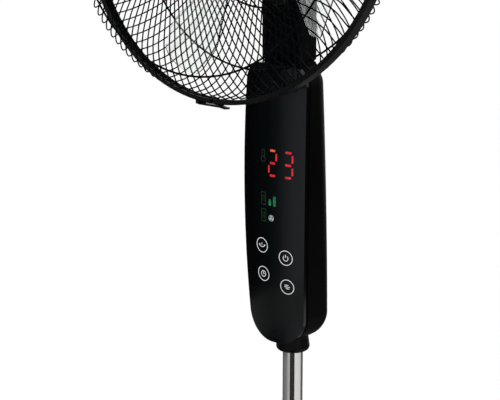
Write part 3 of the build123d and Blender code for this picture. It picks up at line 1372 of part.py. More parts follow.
def make_spinner():
    foot = HUB_FRONT + RUNNING_FIT
    nut = turned(
        (0, foot, 0),
        (SPINNER_RADIUS, foot, 1.0),
        (SPINNER_RADIUS - 2.0, foot + SPINNER_LENGTH * 0.55, 6.0),
        (SPINNER_RADIUS * 0.45, foot + SPINNER_LENGTH, 5.0),
        (0, foot + SPINNER_LENGTH, 0),
    )
    return nut - rod(SHAFT_RADIUS + RUNNING_FIT, (0, 0, foot - 1), (0, 0, SHAFT_FRONT + RUNNING_FIT))


# Every piece under its node's name, in the frame that it was drawn in
STANDING = {
    "base_cover": make_base_cover,
    "base_weight": make_base_weight,
    "base_screws": make_base_screws,
    "base_feet": make_base_feet,
    "tube_flange": make_tube_flange,
    "flange_bolts": make_flange_bolts,
    "outer_tube": make_outer_tube,
    "tube_sleeve": make_tube_sleeve,
    "height_nut": make_height_nut,
    "inner_tube": make_inner_tube,
    "tube_collar": make_tube_collar,
    "spine": make_spine,
    "rear_shell": make_rear_shell,
    "front_panel": make_front_panel,
    "shell_screws": make_shell_screws,
    "display_board": make_display_board,
    "digit_display": make_digit_display,
    "touch_pads": make_touch_pads,
    "power_board": make_power_board,
    "run_capacitor": make_run_capacitor,
    "cord_gland": make_cord_gland,
    "neck": make_neck,
    "neck_screws": make_neck_screws,
    "tilt_bolt": make_tilt_bolt,
    "tilt_nut": make_tilt_nut,
    "tilt_washers": make_tilt_washers,
}
ON_THE_SWIVEL = {
    "swivel_block": make_swivel_block,
    "swing_shaft": make_swing_shaft,
    "swing_clip": make_swing_clip,
    "swing_gear": make_swing_gear,
    "swing_pinion": make_swing_pinion,
    "swing_motor": make_swing_motor,
    "swing_bush": make_swing_bush,
    "motor_bracket": make_motor_bracket,
    "bracket_screws": make_bracket_screws,
    "bottom_plate": make_bottom_plate,
}
ON_THE_AXIS = {
    "front_bell": make_front_bell,
    "rear_bell": make_rear_bell,
    "motor_bushes": make_motor_bushes,
    "stator_core": make_stator_core,
    "stator_winding": make_stator_winding,
    "motor_front_cover": make_motor_front_cover,
    "rear_cover": make_rear_cover,
    "cover_screws": make_cover_screws,
    "rear_guard_plate": make_rear_guard_plate,
    "guard_nut": make_guard_nut,
    "rear_guard_hoops": make_rear_guard_hoops,
    "rear_guard_ribs": make_rear_guard_ribs,
    "front_guard_hoops": make_front_guard_hoops,
    "front_guard_ribs": make_front_guard_ribs,
    "front_badge": make_front_badge,
    "badge_plate": make_badge_plate,
    "guard_ring": make_guard_ring,
    "ring_latch": make_ring_latch,
    "shaft": make_shaft,
    "rotor_core": make_rotor_core,
    "drive_pin": make_drive_pin,
    "fan_blade": make_fan_blade,
    "spinner": make_spinner,
}

os.makedirs("parts", exist_ok=True)
for frame, pieces in ((Location(), STANDING), (HEAD, ON_THE_SWIVEL), (FAN, ON_THE_AXIS)):
    for name, make in pieces.items():
        made = make()
        shapes = made if isinstance(made, list) else [made]
        solids = [frame * solid for shape in shapes for solid in shape.solids()]
        export_step(solids[0] if len(solids) == 1 else Compound(children=solids), f"parts/{name}.step")
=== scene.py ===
import bpy
from math import atan2, cos, pi, radians, sin
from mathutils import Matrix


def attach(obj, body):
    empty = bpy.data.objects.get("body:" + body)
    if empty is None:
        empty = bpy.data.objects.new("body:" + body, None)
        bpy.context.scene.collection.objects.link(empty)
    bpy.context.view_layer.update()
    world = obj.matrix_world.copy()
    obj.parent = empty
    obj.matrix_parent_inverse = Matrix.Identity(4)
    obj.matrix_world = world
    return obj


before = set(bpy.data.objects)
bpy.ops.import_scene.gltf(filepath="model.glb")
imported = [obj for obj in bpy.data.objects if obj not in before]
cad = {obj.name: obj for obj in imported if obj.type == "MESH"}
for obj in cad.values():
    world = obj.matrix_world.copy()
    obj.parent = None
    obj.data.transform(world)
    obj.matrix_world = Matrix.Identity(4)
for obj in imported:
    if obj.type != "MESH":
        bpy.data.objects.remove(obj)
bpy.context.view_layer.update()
scene = bpy.context.scene
scene.view_settings.view_transform = "Standard"


# The view: a long lens at chest height, to the right of the fan and looking a little down, so that the
# picture takes in the column and the lower edge of the guard.
LENS_MM = 105.4
SENSOR_MM = 36.0
NEAREST = 0.05
FURTHEST = 200.0
EYE = (1.0357, -1.2734, 1.082)
EYE_AZIMUTH = radians(40.9)
EYE_PITCH = radians(14.4)

eye_data = bpy.data.cameras.new("eye")
eye_data.lens = LENS_MM
eye_data.sensor_width = SENSOR_MM
eye_data.clip_start = NEAREST
eye_data.clip_end = FURTHEST
eye = bpy.data.objects.new("eye", eye_data)
eye.location = EYE
eye.rotation_euler = (pi / 2 - EYE_PITCH, 0, EYE_AZIMUTH)
scene.collection.objects.link(eye)
scene.camera = eye


# The room: a plain pale floor that runs out to a white room. Camera, mirror and glass rays see it white,
# and other rays take a softer light from it, so that the object keeps its own colours. The floor's glow, a
# level at each radius, makes up for the lamps further off and is faint near the fan, where its shadow falls.
ROOM_WHITE = (1.0, 1.0, 1.0, 1.0)
ROOM_FILL = 0.55
FLOOR_TONE = (0.82, 0.82, 0.82, 1.0)
FLOOR_SIZE = 120.0
FLOOR_GLOW_REACH = 8.0
FLOOR_GLOW = ((0.0, 0.06), (1.0, 0.14), (1.6, 0.22), (2.6, 0.345), (4.5, 0.48), (8.0, 0.56))


def seen_directly(tree):
    """Socket that is 1 for rays that look at the room: camera, glossy and transmitted ones."""
    path = tree.nodes.new("ShaderNodeLightPath")
    first = tree.nodes.new("ShaderNodeMath")
    first.operation = "MAXIMUM"
    tree.links.new(path.outputs["Is Camera Ray"], first.inputs[0])
    tree.links.new(path.outputs["Is Glossy Ray"], first.inputs[1])
    both = tree.nodes.new("ShaderNodeMath")
    both.operation = "MAXIMUM"
    tree.links.new(first.outputs[0], both.inputs[0])
    tree.links.new(path.outputs["Is Transmission Ray"], both.inputs[1])
    return both.outputs[0]


def tone_along(tree, value, stops):
    """Colour that follows a value through stops, each a place from 0 to 1 and a colour."""
    ramp = tree.nodes.new("ShaderNodeValToRGB")
    points = ramp.color_ramp.elements
    while len(points) < len(stops):
        points.new(1.0)
    for point, (place, colour) in zip(points, stops):
        point.position = place
        point.color = list(colour) + [1.0]
    tree.links.new(value, ramp.inputs["Fac"])
    return ramp.outputs["Color"]


def mapped(tree, value, start, stop, low, high):
    """Value that runs from low to high while another one runs from start to stop."""
    node = tree.nodes.new("ShaderNodeMapRange")
    node.inputs["From Min"].default_value = start
    node.inputs["From Max"].default_value = stop
    node.inputs["To Min"].default_value = low
    node.inputs["To Max"].default_value = high
    tree.links.new(value, node.inputs["Value"])
    return node.outputs["Result"]


room = bpy.data.worlds.new("white_room")
room.use_nodes = True
room_tree = room.node_tree
room_tree.nodes.clear()
room_seen = room_tree.nodes.new("ShaderNodeBackground")
room_seen.inputs["Color"].default_value = ROOM_WHITE
room_seen.inputs["Strength"].default_value = 1.0
room_fill = room_tree.nodes.new("ShaderNodeBackground")
room_fill.inputs["Color"].default_value = ROOM_WHITE
room_fill.inputs["Strength"].default_value = ROOM_FILL
room_mix = room_tree.nodes.new("ShaderNodeMixShader")
room_out = room_tree.nodes.new("ShaderNodeOutputWorld")
room_tree.links.new(seen_directly(room_tree), room_mix.inputs[0])
room_tree.links.new(room_fill.outputs[0], room_mix.inputs[1])
room_tree.links.new(room_seen.outputs[0], room_mix.inputs[2])
room_tree.links.new(room_mix.outputs[0], room_out.inputs["Surface"])
scene.world = room

bpy.ops.object.select_all(action="DESELECT")
bpy.ops.mesh.primitive_plane_add(size=FLOOR_SIZE, location=(0, 0, 0))
floor = bpy.context.object
floor.name = "floor"
floor_paint = bpy.data.materials.new("pale_floor")
floor_paint.use_nodes = True
floor_tree = floor_paint.node_tree
floor_tree.nodes.clear()
floor_matt = floor_tree.nodes.new("ShaderNodeBsdfDiffuse")
floor_matt.inputs["Color"].default_value = FLOOR_TONE
floor_place = floor_tree.nodes.new("ShaderNodeTexCoord")
floor_radius = floor_tree.nodes.new("ShaderNodeVectorMath")
floor_radius.operation = "LENGTH"
floor_tree.links.new(floor_place.outputs["Object"], floor_radius.inputs[0])
floor_share = mapped(floor_tree, floor_radius.outputs["Value"], 0.0, FLOOR_GLOW_REACH, 0.0, 1.0)
floor_stops = [(radius / FLOOR_GLOW_REACH, (level, level, level)) for radius, level in FLOOR_GLOW]
floor_glow = floor_tree.nodes.new("ShaderNodeEmission")
floor_tree.links.new(tone_along(floor_tree, floor_share, floor_stops), floor_glow.inputs["Color"])
floor_both = floor_tree.nodes.new("ShaderNodeAddShader")
floor_mix = floor_tree.nodes.new("ShaderNodeMixShader")
floor_out = floor_tree.nodes.new("ShaderNodeOutputMaterial")
floor_tree.links.new(floor_matt.outputs[0], floor_both.inputs[0])
floor_tree.links.new(floor_glow.outputs[0], floor_both.inputs[1])
floor_tree.links.new(seen_directly(floor_tree), floor_mix.inputs[0])
floor_tree.links.new(floor_matt.outputs[0], floor_mix.inputs[1])
floor_tree.links.new(floor_both.outputs[0], floor_mix.inputs[2])
floor_tree.links.new(floor_mix.outputs[0], floor_out.inputs["Surface"])
floor.data.materials.append(floor_paint)


# The lamps: three large soft boxes, one high in front to the left, one to the right and one overhead. Each
# is a plain white sheet of light that faces the column, given by its place, width, height and power.
LAMP_AIM = (0, 0, 0.8)
LAMPS = (
    ("left_box", (-2.2, -2.6, 2.4), 1.6, 1.6, 60),
    ("right_box", (3.0, -0.6, 2.0), 1.2, 1.6, 40),
    ("top_box", (0.2, 0.3, 3.4), 2.0, 2.0, 40),
)

for lamp_name, lamp_place, lamp_width, lamp_height, lamp_watts in LAMPS:
    lamp = bpy.data.lights.new(lamp_name, "AREA")
    lamp.shape = "RECTANGLE"
    lamp.size = lamp_width
    lamp.size_y = lamp_height
    lamp.energy = lamp_watts
    holder = bpy.data.objects.new(lamp_name, lamp)
    scene.collection.objects.link(holder)
    holder.location = lamp_place
    holder.visible_camera = False
    away = [p - a for p, a in zip(lamp_place, LAMP_AIM)]
    flat = (away[0] ** 2 + away[1] ** 2) ** 0.5
    holder.rotation_euler = (atan2(flat, away[2]), 0, atan2(away[0], -away[1]))


# The painted reflections: black and grey sheets flat on the floor, glowing with set tones, which only mirror
# rays see. Black ones paint a dark reflection on the gloss panel that passes softly to a painted sheen on the
# right.
# One paints the shell's side dark, and grey ones paint dark stripes on the chrome. A row is a sheet's heading
# and half width in degrees, its inner and outer radius, and its tones by heading.
SHEET_LIFT = 0.0004
SHEET_SIDES = 180
BLACK_TO_LIGHT = (
    (-66.0, (0.004, 0.010, 0.011)),
    (-42.0, (0.05, 0.075, 0.085)),
    (-30.0, (0.16, 0.19, 0.21)),
    (-20.0, (0.50, 0.56, 0.63)),
    (-8.0, (0.85, 0.90, 1.0)),
)
LEFT_EDGE_TONE = ((-70.0, (0.30, 0.30, 0.295)), (-42.0, (0.33, 0.33, 0.32)), (-14.0, (0.62, 0.62, 0.61)))
STRIPE_TONE = ((0.0, (0.05, 0.05, 0.046)), (90.0, (0.05, 0.05, 0.046)))
BACK_TONE = ((150.0, (0.2, 0.2, 0.2)), (269.0, (0.2, 0.2, 0.2)))
SIDE_TONE = ((90.0, (0.02, 0.02, 0.02)), (170.0, (0.02, 0.02, 0.02)))
REFLECTION_SHEETS = (
    (33.0, 28.0, 0.3, 2.4, STRIPE_TONE),
    (215.0, 64.0, 0.3, 2.4, BACK_TONE),
    (-45.0, 45.0, 0.3, 0.98, BLACK_TO_LIGHT),
    (-45.0, 45.0, 0.98, 1.30, LEFT_EDGE_TONE),
    (-45.0, 45.0, 1.30, 30.0, BLACK_TO_LIGHT),
    (130.0, 36.0, 1.40, 9.0, SIDE_TONE),
)


def reflection_paint(tones):
    """Glowing tone of a painted reflection: it passes from stop to stop with the heading, on a gradient from
    -90 degrees right round.
    """
    paint = bpy.data.materials.new("reflection_paint")
    paint.use_nodes = True
    tree = paint.node_tree
    tree.nodes.clear()
    place = tree.nodes.new("ShaderNodeTexCoord")
    round_pole = tree.nodes.new("ShaderNodeTexGradient")
    round_pole.gradient_type = "RADIAL"
    tree.links.new(place.outputs["Object"], round_pole.inputs["Vector"])
    stops = [((turn + 90) / 360, colour) for turn, colour in tones]
    glow = tree.nodes.new("ShaderNodeEmission")
    tree.links.new(tone_along(tree, round_pole.outputs["Fac"], stops), glow.inputs["Color"])
    out = tree.nodes.new("ShaderNodeOutputMaterial")
    tree.links.new(glow.outputs[0], out.inputs["Surface"])
    return paint


def keep_rim(width):
    """Cuts the middle out of the flat disc just made, up to a rim of this width."""
    bpy.ops.object.mode_set(mode="EDIT")
    bpy.ops.mesh.select_mode(type="FACE")
    bpy.ops.mesh.select_all(action="SELECT")
    bpy.ops.mesh.inset(thickness=width, depth=0)
    bpy.ops.mesh.delete(type="FACE")
    bpy.ops.object.mode_set(mode="OBJECT")


def drop_faces(shape, unwanted):
    """Deletes the faces whose middle passes the test."""
    bpy.ops.object.mode_set(mode="EDIT")
    bpy.ops.mesh.select_mode(type="FACE")
    bpy.ops.mesh.select_all(action="DESELECT")
    bpy.ops.object.mode_set(mode="OBJECT")
    for face in shape.data.polygons:
        face.select = unwanted(face.center)
    bpy.ops.object.mode_set(mode="EDIT")
    bpy.ops.mesh.delete(type="FACE")
    bpy.ops.object.mode_set(mode="OBJECT")


def degrees_apart(angle, middle):
    """Degrees between an angle in radians and a middle in degrees, whichever way is shorter."""
    turn = angle * 180 / pi - middle
    return abs((turn + 180) % 360 - 180)


# Each sheet glows with its painted reflection tones and is hidden from camera, diffuse, shadow and glass
# rays, so only mirror rays see it.
for layer, (heading, reach, inner, outer, tones) in enumerate(REFLECTION_SHEETS, start=1):
    bpy.ops.object.select_all(action="DESELECT")
    bpy.ops.mesh.primitive_circle_add(vertices=SHEET_SIDES, radius=outer, fill_type="NGON",
                                      location=(0, 0, layer * SHEET_LIFT))
    bpy.ops.object.transform_apply(location=True, rotation=True, scale=True)
    reflection_sheet = bpy.context.object
    reflection_sheet.name = "painted_reflection_sheet"
    keep_rim(outer - inner)
    drop_faces(reflection_sheet, lambda at: degrees_apart(atan2(at.x, -at.y), heading) > reach)
    reflection_sheet.data.materials.append(reflection_paint(tones))
    reflection_sheet.visible_camera = False
    reflection_sheet.visible_diffuse = False
    reflection_sheet.visible_shadow = False
    reflection_sheet.visible_transmission = False


# The base: a moulded dome over a cast weight, on rubber feet. The dome is satin black plastic with the
# fine spark-eroded grain of its mould, and screws from below hold it to the weight.
PATCH_SCALE = 14.0
PATCH_DETAIL = 4.0
PATCH_RANGE = (0.3, 0.7)
GRAIN_DETAIL = 2.0
GRAIN_STRENGTH = 0.35


def noise(tree, vector, scale, detail):
    """Soft random value over a surface."""
    cloud = tree.nodes.new("ShaderNodeTexNoise")
    cloud.inputs["Scale"].default_value = scale
    cloud.inputs["Detail"].default_value = detail
    tree.links.new(vector, cloud.inputs["Vector"])
    return cloud.outputs["Fac"]


def moulded(name, colour, roughness, specular, grain_mm=0.0, grain_depth_mm=0.0, patch=0.25):
    """Moulded plastic: fine grain in its bump, slow patches in its colour and gloss."""
    finish = bpy.data.materials.new(name)
    finish.use_nodes = True
    tree = finish.node_tree
    skin = tree.nodes["Principled BSDF"]
    skin.inputs["Specular IOR Level"].default_value = specular
    place = tree.nodes.new("ShaderNodeTexCoord").outputs["Object"]
    slow = noise(tree, place, PATCH_SCALE, PATCH_DETAIL)
    dark = [c * (1 - patch) for c in colour]
    light = [c * (1 + patch) for c in colour]
    tree.links.new(tone_along(tree, slow, ((0.0, dark), (1.0, light))), skin.inputs["Base Color"])
    gloss = mapped(tree, slow, *PATCH_RANGE, roughness * (1 - patch / 2), roughness * (1 + patch / 2))
    tree.links.new(gloss, skin.inputs["Roughness"])
    if grain_mm:
        grain = noise(tree, place, 1000.0 / grain_mm, GRAIN_DETAIL)
        relief = tree.nodes.new("ShaderNodeBump")
        relief.inputs["Strength"].default_value = GRAIN_STRENGTH
        relief.inputs["Distance"].default_value = grain_depth_mm / 1000.0
        tree.links.new(grain, relief.inputs["Height"])
        tree.links.new(relief.outputs["Normal"], skin.inputs["Normal"])
    return finish


def dress(finish, *names):
    """Gives CAD nodes their finish."""
    for name in names:
        cad[name].data.materials.clear()
        cad[name].data.materials.append(finish)


satin_black = moulded("satin_black", (0.005, 0.005, 0.0055), roughness=0.42, specular=0.14,
                      grain_mm=0.7, grain_depth_mm=0.03)
rubber_black = moulded("rubber_black", (0.014, 0.014, 0.014), roughness=0.75, specular=0.2,
                       grain_mm=1.2, grain_depth_mm=0.08)
cast_grey = moulded("cast_grey", (0.05, 0.05, 0.052), roughness=0.7, specular=0.3,
                    grain_mm=2.5, grain_depth_mm=0.3)
dress(satin_black, "base_cover")
dress(rubber_black, "base_feet")
dress(cast_grey, "base_weight")


# Bright steel: the screws, bolts, shafts and stampings from the base to the motor. They are drawn or rolled
# metal with short streaks, plated so that they stay bright.
STREAK_SCALE = 6.0
STREAK_DETAIL = 5.0
STREAK_SHADE = 0.88
STREAK_GLOSS = (0.7, 1.3)
EVEN_STREAK = (60.0, 60.0, 60.0)


def bare_metal(name, colour, roughness, streak=EVEN_STREAK, edge=1.0):
    """Metal with streaks in its tone and gloss; edge is how bright it turns at a glancing look."""
    finish = bpy.data.materials.new(name)
    finish.use_nodes = True
    tree = finish.node_tree
    skin = tree.nodes["Principled BSDF"]
    skin.inputs["Metallic"].default_value = 1.0
    skin.inputs["Specular Tint"].default_value = (edge, edge, edge, 1.0)
    place = tree.nodes.new("ShaderNodeTexCoord")
    stretch = tree.nodes.new("ShaderNodeMapping")
    stretch.inputs["Scale"].default_value = streak
    tree.links.new(place.outputs["Object"], stretch.inputs["Vector"])
    lines = noise(tree, stretch.outputs["Vector"], STREAK_SCALE, STREAK_DETAIL)
    shade = [c * STREAK_SHADE for c in colour]
    tree.links.new(tone_along(tree, lines, ((0.0, shade), (1.0, colour))), skin.inputs["Base Color"])
    dull, bright = (roughness * share for share in STREAK_GLOSS)
    tree.links.new(mapped(tree, lines, 0.0, 1.0, dull, bright), skin.inputs["Roughness"])
    return finish


plated_steel = bare_metal("plated_steel", (0.62, 0.62, 0.64), roughness=0.3)
dress(plated_steel, "base_screws", "flange_bolts", "shell_screws", "neck_screws", "tilt_bolt", "tilt_nut",
      "swing_shaft", "swing_clip", "swing_motor", "motor_bracket", "bracket_screws", "cover_screws",
      "stator_core", "shaft", "rotor_core", "drive_pin", "spine")


# The pole: two chromed steel tubes, one sliding in the other, with the clamp nut and its slit sleeve where
# they meet. The lower one stands in a black welded flange that is bolted to the weight.
TUBE_STREAK = (400.0, 400.0, 4.0)
chrome = bare_metal("chrome", (0.56, 0.553, 0.54), roughness=0.09, streak=TUBE_STREAK, edge=0.6)
black_coat = moulded("black_coat", (0.005, 0.005, 0.0055), roughness=0.35, specular=0.2,
                     grain_mm=0.5, grain_depth_mm=0.02)
grip_black = moulded("grip_black", (0.006, 0.006, 0.0065), roughness=0.55, specular=0.16,
                     grain_mm=0.6, grain_depth_mm=0.05)
dress(chrome, "outer_tube", "inner_tube")
dress(black_coat, "tube_flange")
dress(grip_black, "height_nut", "tube_sleeve")


# The column: a gloss black front panel and a duller rear shell, screwed together from behind round a
# steel spine, with a turned collar where the pole goes in and a moulded neck on top.
panel_gloss = moulded("panel_gloss", (0.0008, 0.0012, 0.0014), roughness=0.13, specular=0.2, patch=0.1)
collar_gloss = moulded("collar_gloss", (0.002, 0.002, 0.0022), roughness=0.3, specular=0.06, patch=0.1)
shell_black = moulded("shell_black", (0.0007, 0.0007, 0.0007), roughness=0.4, specular=0.02,
                      grain_mm=0.8, grain_depth_mm=0.03)
neck_black = moulded("neck_black", (0.0010, 0.0015, 0.0022), roughness=0.5, specular=0.014,
                     grain_mm=0.8, grain_depth_mm=0.03)
dress(panel_gloss, "front_panel")
dress(collar_gloss, "tube_collar")
dress(shell_black, "rear_shell")
dress(neck_black, "neck", "bottom_plate")


# The touch keys: four white rings with a plain sign in each, printed behind the panel and lit from inside.
# Each starts as a flat shape in front of the panel and is wrapped on to it as a thin film.
PRINT_START_Y = -0.08
PRINT_LIFT = 0.00004
PRINT_THICKNESS = 0.00012
BAR_END_ROUND = 0.35
BAR_END_STEPS = 3
KEY_RING_RADIUS = 0.00885
KEY_RING_LINE = 0.00062
KEY_RING_CORNERS = 64
KEY_SIGN_LINE = 0.0006
KEY_SIGN_CORNERS = 48
KEYS = {
    "swing": (-0.0128, 0.6135),
    "power": (0.0210, 0.6038),
    "timer": (-0.0118, 0.5790),
    "speed": (0.0218, 0.5690),
}
SWING_ARC_RADIUS = 0.0052
SWING_ARC_RISE = 0.0028
SWING_ARC_OPENING = (0.0, 128.0)
SWING_ARROW_RADIUS = 0.0013
SWING_ARROW_SPREAD = 0.0040
SWING_ARROW_RISE = 0.0004
SWING_ARROW_TURN = radians(35)
SWING_STEM_RISE = 0.0018
SWING_STEM_LENGTH = 0.0028
POWER_RADIUS = 0.0035
POWER_DROP = 0.0003
POWER_OPENING = (0.0, 35.0)
POWER_STEM_RISE = 0.0022
POWER_STEM_LENGTH = 0.0038
TIMER_RADIUS = 0.0038
TIMER_LONG_HAND = 0.0026
TIMER_LONG_RISE = 0.0011
TIMER_SHORT_HAND = 0.0020
TIMER_SHORT_SHIFT = 0.0008
SPEED_WIDTHS = (0.0052, 0.0074, 0.0044)
SPEED_PITCH = 0.0021
SPEED_SHIFT = 0.0006


def flat_disc(x, z, radius, corners, turn=0.0):
    """Flat upright disc or polygon in front of the panel, facing forward."""
    bpy.ops.object.select_all(action="DESELECT")
    bpy.ops.mesh.primitive_circle_add(vertices=corners, radius=radius, fill_type="NGON",
                                      location=(x, PRINT_START_Y, z), rotation=(pi / 2, turn, 0))
    bpy.ops.object.transform_apply(location=True, rotation=True, scale=True)
    return bpy.context.object


def flat_ring(x, z, radius, line, corners, opening=None):
    """Flat ring; opening is the middle and half width, in degrees from the top, of a part left out."""
    ring = flat_disc(x, z, radius, corners)
    keep_rim(line)
    if opening:
        middle, reach = opening
        drop_faces(ring, lambda at: degrees_apart(atan2(at.x - x, at.z - z), middle) < reach)
    return ring


def flat_bar(x, z, width, height):
    """Flat upright bar with softened ends."""
    bpy.ops.object.select_all(action="DESELECT")
    bpy.ops.mesh.primitive_plane_add(size=1.0, location=(x, PRINT_START_Y, z), rotation=(pi / 2, 0, 0))
    bar = bpy.context.object
    bar.scale = (width, height, 1.0)
    bpy.ops.object.transform_apply(location=True, rotation=True, scale=True)
    bpy.ops.object.mode_set(mode="EDIT")
    bpy.ops.mesh.select_all(action="SELECT")
    bpy.ops.mesh.bevel(offset=min(width, height) * BAR_END_ROUND, segments=BAR_END_STEPS, affect="VERTICES")
    bpy.ops.object.mode_set(mode="OBJECT")
    return bar


def lay_on_panel(name, shapes, finish):
    """Joins flat shapes, wraps them on to the front panel and gives them a film's thickness."""
    bpy.ops.object.select_all(action="DESELECT")
    for shape in shapes:
        shape.select_set(True)
    bpy.context.view_layer.objects.active = shapes[0]
    if len(shapes) > 1:
        bpy.ops.object.join()
    film = bpy.context.object
    film.name = name
    film.data.name = name
    bpy.ops.object.mode_set(mode="EDIT")
    bpy.ops.mesh.select_all(action="SELECT")
    bpy.ops.mesh.quads_convert_to_tris()
    bpy.ops.mesh.subdivide(number_cuts=1)
    bpy.ops.object.mode_set(mode="OBJECT")
    wrap = film.modifiers.new("wrap", "SHRINKWRAP")
    wrap.target = cad["front_panel"]
    wrap.wrap_method = "PROJECT"
    wrap.use_project_y = True
    wrap.use_positive_direction = True
    wrap.use_negative_direction = False
    wrap.offset = PRINT_LIFT
    bpy.ops.object.modifier_apply(modifier="wrap")
    wall = film.modifiers.new("wall", "SOLIDIFY")
    wall.thickness = PRINT_THICKNESS
    wall.offset = 1.0
    bpy.ops.object.modifier_apply(modifier="wall")
    film.data.materials.append(finish)
    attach(film, "column")


WINDOW_BLACK = (0.01, 0.01, 0.01, 1.0)
WINDOW_ROUGHNESS = 0.25
WINDOW_SPECULAR = 0.1
GLOW_DRIFT_SCALE = 180.0
GLOW_DRIFT_DETAIL = 1.0
GLOW_DRIFT_RANGE = (0.35, 0.65)


def lit(name, edge, middle):
    """Glowing window: the colour drifts a little between its edge and its hotter middle."""
    finish = bpy.data.materials.new(name)
    finish.use_nodes = True
    tree = finish.node_tree
    skin = tree.nodes["Principled BSDF"]
    skin.inputs["Base Color"].default_value = WINDOW_BLACK
    skin.inputs["Roughness"].default_value = WINDOW_ROUGHNESS
    skin.inputs["Specular IOR Level"].default_value = WINDOW_SPECULAR
    skin.inputs["Emission Strength"].default_value = 1.0
    place = tree.nodes.new("ShaderNodeTexCoord")
    drift = noise(tree, place.outputs["Object"], GLOW_DRIFT_SCALE, GLOW_DRIFT_DETAIL)
    stops = list(zip(GLOW_DRIFT_RANGE, (edge, middle)))
    tree.links.new(tone_along(tree, drift, stops), skin.inputs["Emission Color"])
    return finish


key_glow = lit("key_glow", (0.86, 0.86, 0.86), (0.98, 0.98, 0.98))
key_shapes = []
for x, z in KEYS.values():
    key_shapes.append(flat_ring(x, z, KEY_RING_RADIUS, KEY_RING_LINE, KEY_RING_CORNERS))

x, z = KEYS["swing"]
key_shapes.append(flat_ring(x, z + SWING_ARC_RISE, SWING_ARC_RADIUS, KEY_SIGN_LINE, KEY_SIGN_CORNERS,
                            SWING_ARC_OPENING))
for side in (-1, 1):
    key_shapes.append(flat_disc(x + side * SWING_ARROW_SPREAD, z + SWING_ARROW_RISE, SWING_ARROW_RADIUS, 3,
                                side * SWING_ARROW_TURN))
key_shapes.append(flat_bar(x, z + SWING_STEM_RISE, KEY_SIGN_LINE, SWING_STEM_LENGTH))

x, z = KEYS["power"]
key_shapes.append(flat_ring(x, z - POWER_DROP, POWER_RADIUS, KEY_SIGN_LINE, KEY_SIGN_CORNERS, POWER_OPENING))
key_shapes.append(flat_bar(x, z + POWER_STEM_RISE, KEY_SIGN_LINE, POWER_STEM_LENGTH))

x, z = KEYS["timer"]
key_shapes.append(flat_ring(x, z, TIMER_RADIUS, KEY_SIGN_LINE, KEY_SIGN_CORNERS))
key_shapes.append(flat_bar(x, z + TIMER_LONG_RISE, KEY_SIGN_LINE, TIMER_LONG_HAND))
key_shapes.append(flat_bar(x + TIMER_SHORT_SHIFT, z, TIMER_SHORT_HAND, KEY_SIGN_LINE))

x, z = KEYS["speed"]
for row, width in enumerate(SPEED_WIDTHS):
    level = z + (1 - row) * SPEED_PITCH
    key_shapes.append(flat_bar(x + (row - 1) * SPEED_SHIFT, level, width, KEY_SIGN_LINE))
lay_on_panel("key_prints", key_shapes, key_glow)


# The lit display: two red seven-part digits, one bar of them amber, a green speed scale, dim green signs and
# a small white fan sign. They are light windows of a display block, seen through the panel.
DIGIT_Z = 0.7126
DIGIT_HEIGHT = 0.0287
DIGIT_WIDTH = 0.0104
LEVEL_LINE = 0.0026
UPRIGHT_LINE = 0.0021
UPRIGHT_LENGTH = 0.0090
LEVEL_LENGTH = 0.0078
DIGITS = ((0.0041, "abged"), (0.0250, "abgcd"))
DIGIT_PARTS = {
    "a": (0, DIGIT_HEIGHT / 2, False),
    "b": (DIGIT_WIDTH / 2, DIGIT_HEIGHT / 4, True),
    "c": (DIGIT_WIDTH / 2, -DIGIT_HEIGHT / 4, True),
    "d": (0, -DIGIT_HEIGHT / 2, False),
    "e": (-DIGIT_WIDTH / 2, -DIGIT_HEIGHT / 4, True),
    "g": (0, 0, False),
}
END_SHARE = 0.1


def digit_part(x, z, upright):
    """One pointed bar of a digit: a hexagon drawn out along its length."""
    line = UPRIGHT_LINE if upright else LEVEL_LINE
    length = UPRIGHT_LENGTH if upright else LEVEL_LENGTH
    radius = line / 2 / sin(pi / 3)
    bar = flat_disc(x, z, radius, 6, 0.0 if upright else pi / 2)
    stretch = length / 2 - radius
    for sense in (-1, 1):
        bpy.ops.object.mode_set(mode="EDIT")
        bpy.ops.mesh.select_mode(type="VERT")
        bpy.ops.mesh.select_all(action="DESELECT")
        bpy.ops.object.mode_set(mode="OBJECT")
        for corner in bar.data.vertices:
            offset = corner.co.z - z if upright else corner.co.x - x
            corner.select = offset * sense > radius * END_SHARE
        bpy.ops.object.mode_set(mode="EDIT")
        step = sense * stretch
        bpy.ops.transform.translate(value=(0, 0, step) if upright else (step, 0, 0))
        bpy.ops.object.mode_set(mode="OBJECT")
    return bar


red_bars = []
amber_bars = []
for digit, (digit_x, parts) in enumerate(DIGITS):
    for part in parts:
        dx, dz, upright = DIGIT_PARTS[part]
        bars = amber_bars if digit == 0 and part == "a" else red_bars
        bars.append(digit_part(digit_x + dx, DIGIT_Z + dz, upright))
red_glow = lit("red_glow", (0.55, 0.008, 0.016), (0.76, 0.022, 0.032))
amber_glow = lit("amber_glow", (0.62, 0.05, 0.014), (0.80, 0.12, 0.03))
lay_on_panel("red_digits", red_bars, red_glow)
lay_on_panel("amber_bar", amber_bars, amber_glow)

SCALE_BARS = ((0.0005, 0.6666, 0.0034, 0.0077), (0.0071, 0.6685, 0.0038, 0.0118))
green_glow = lit("green_glow", (0.0, 0.07, 0.025), (0.008, 0.20, 0.075))
lay_on_panel("green_scale", [flat_bar(*bar) for bar in SCALE_BARS], green_glow)

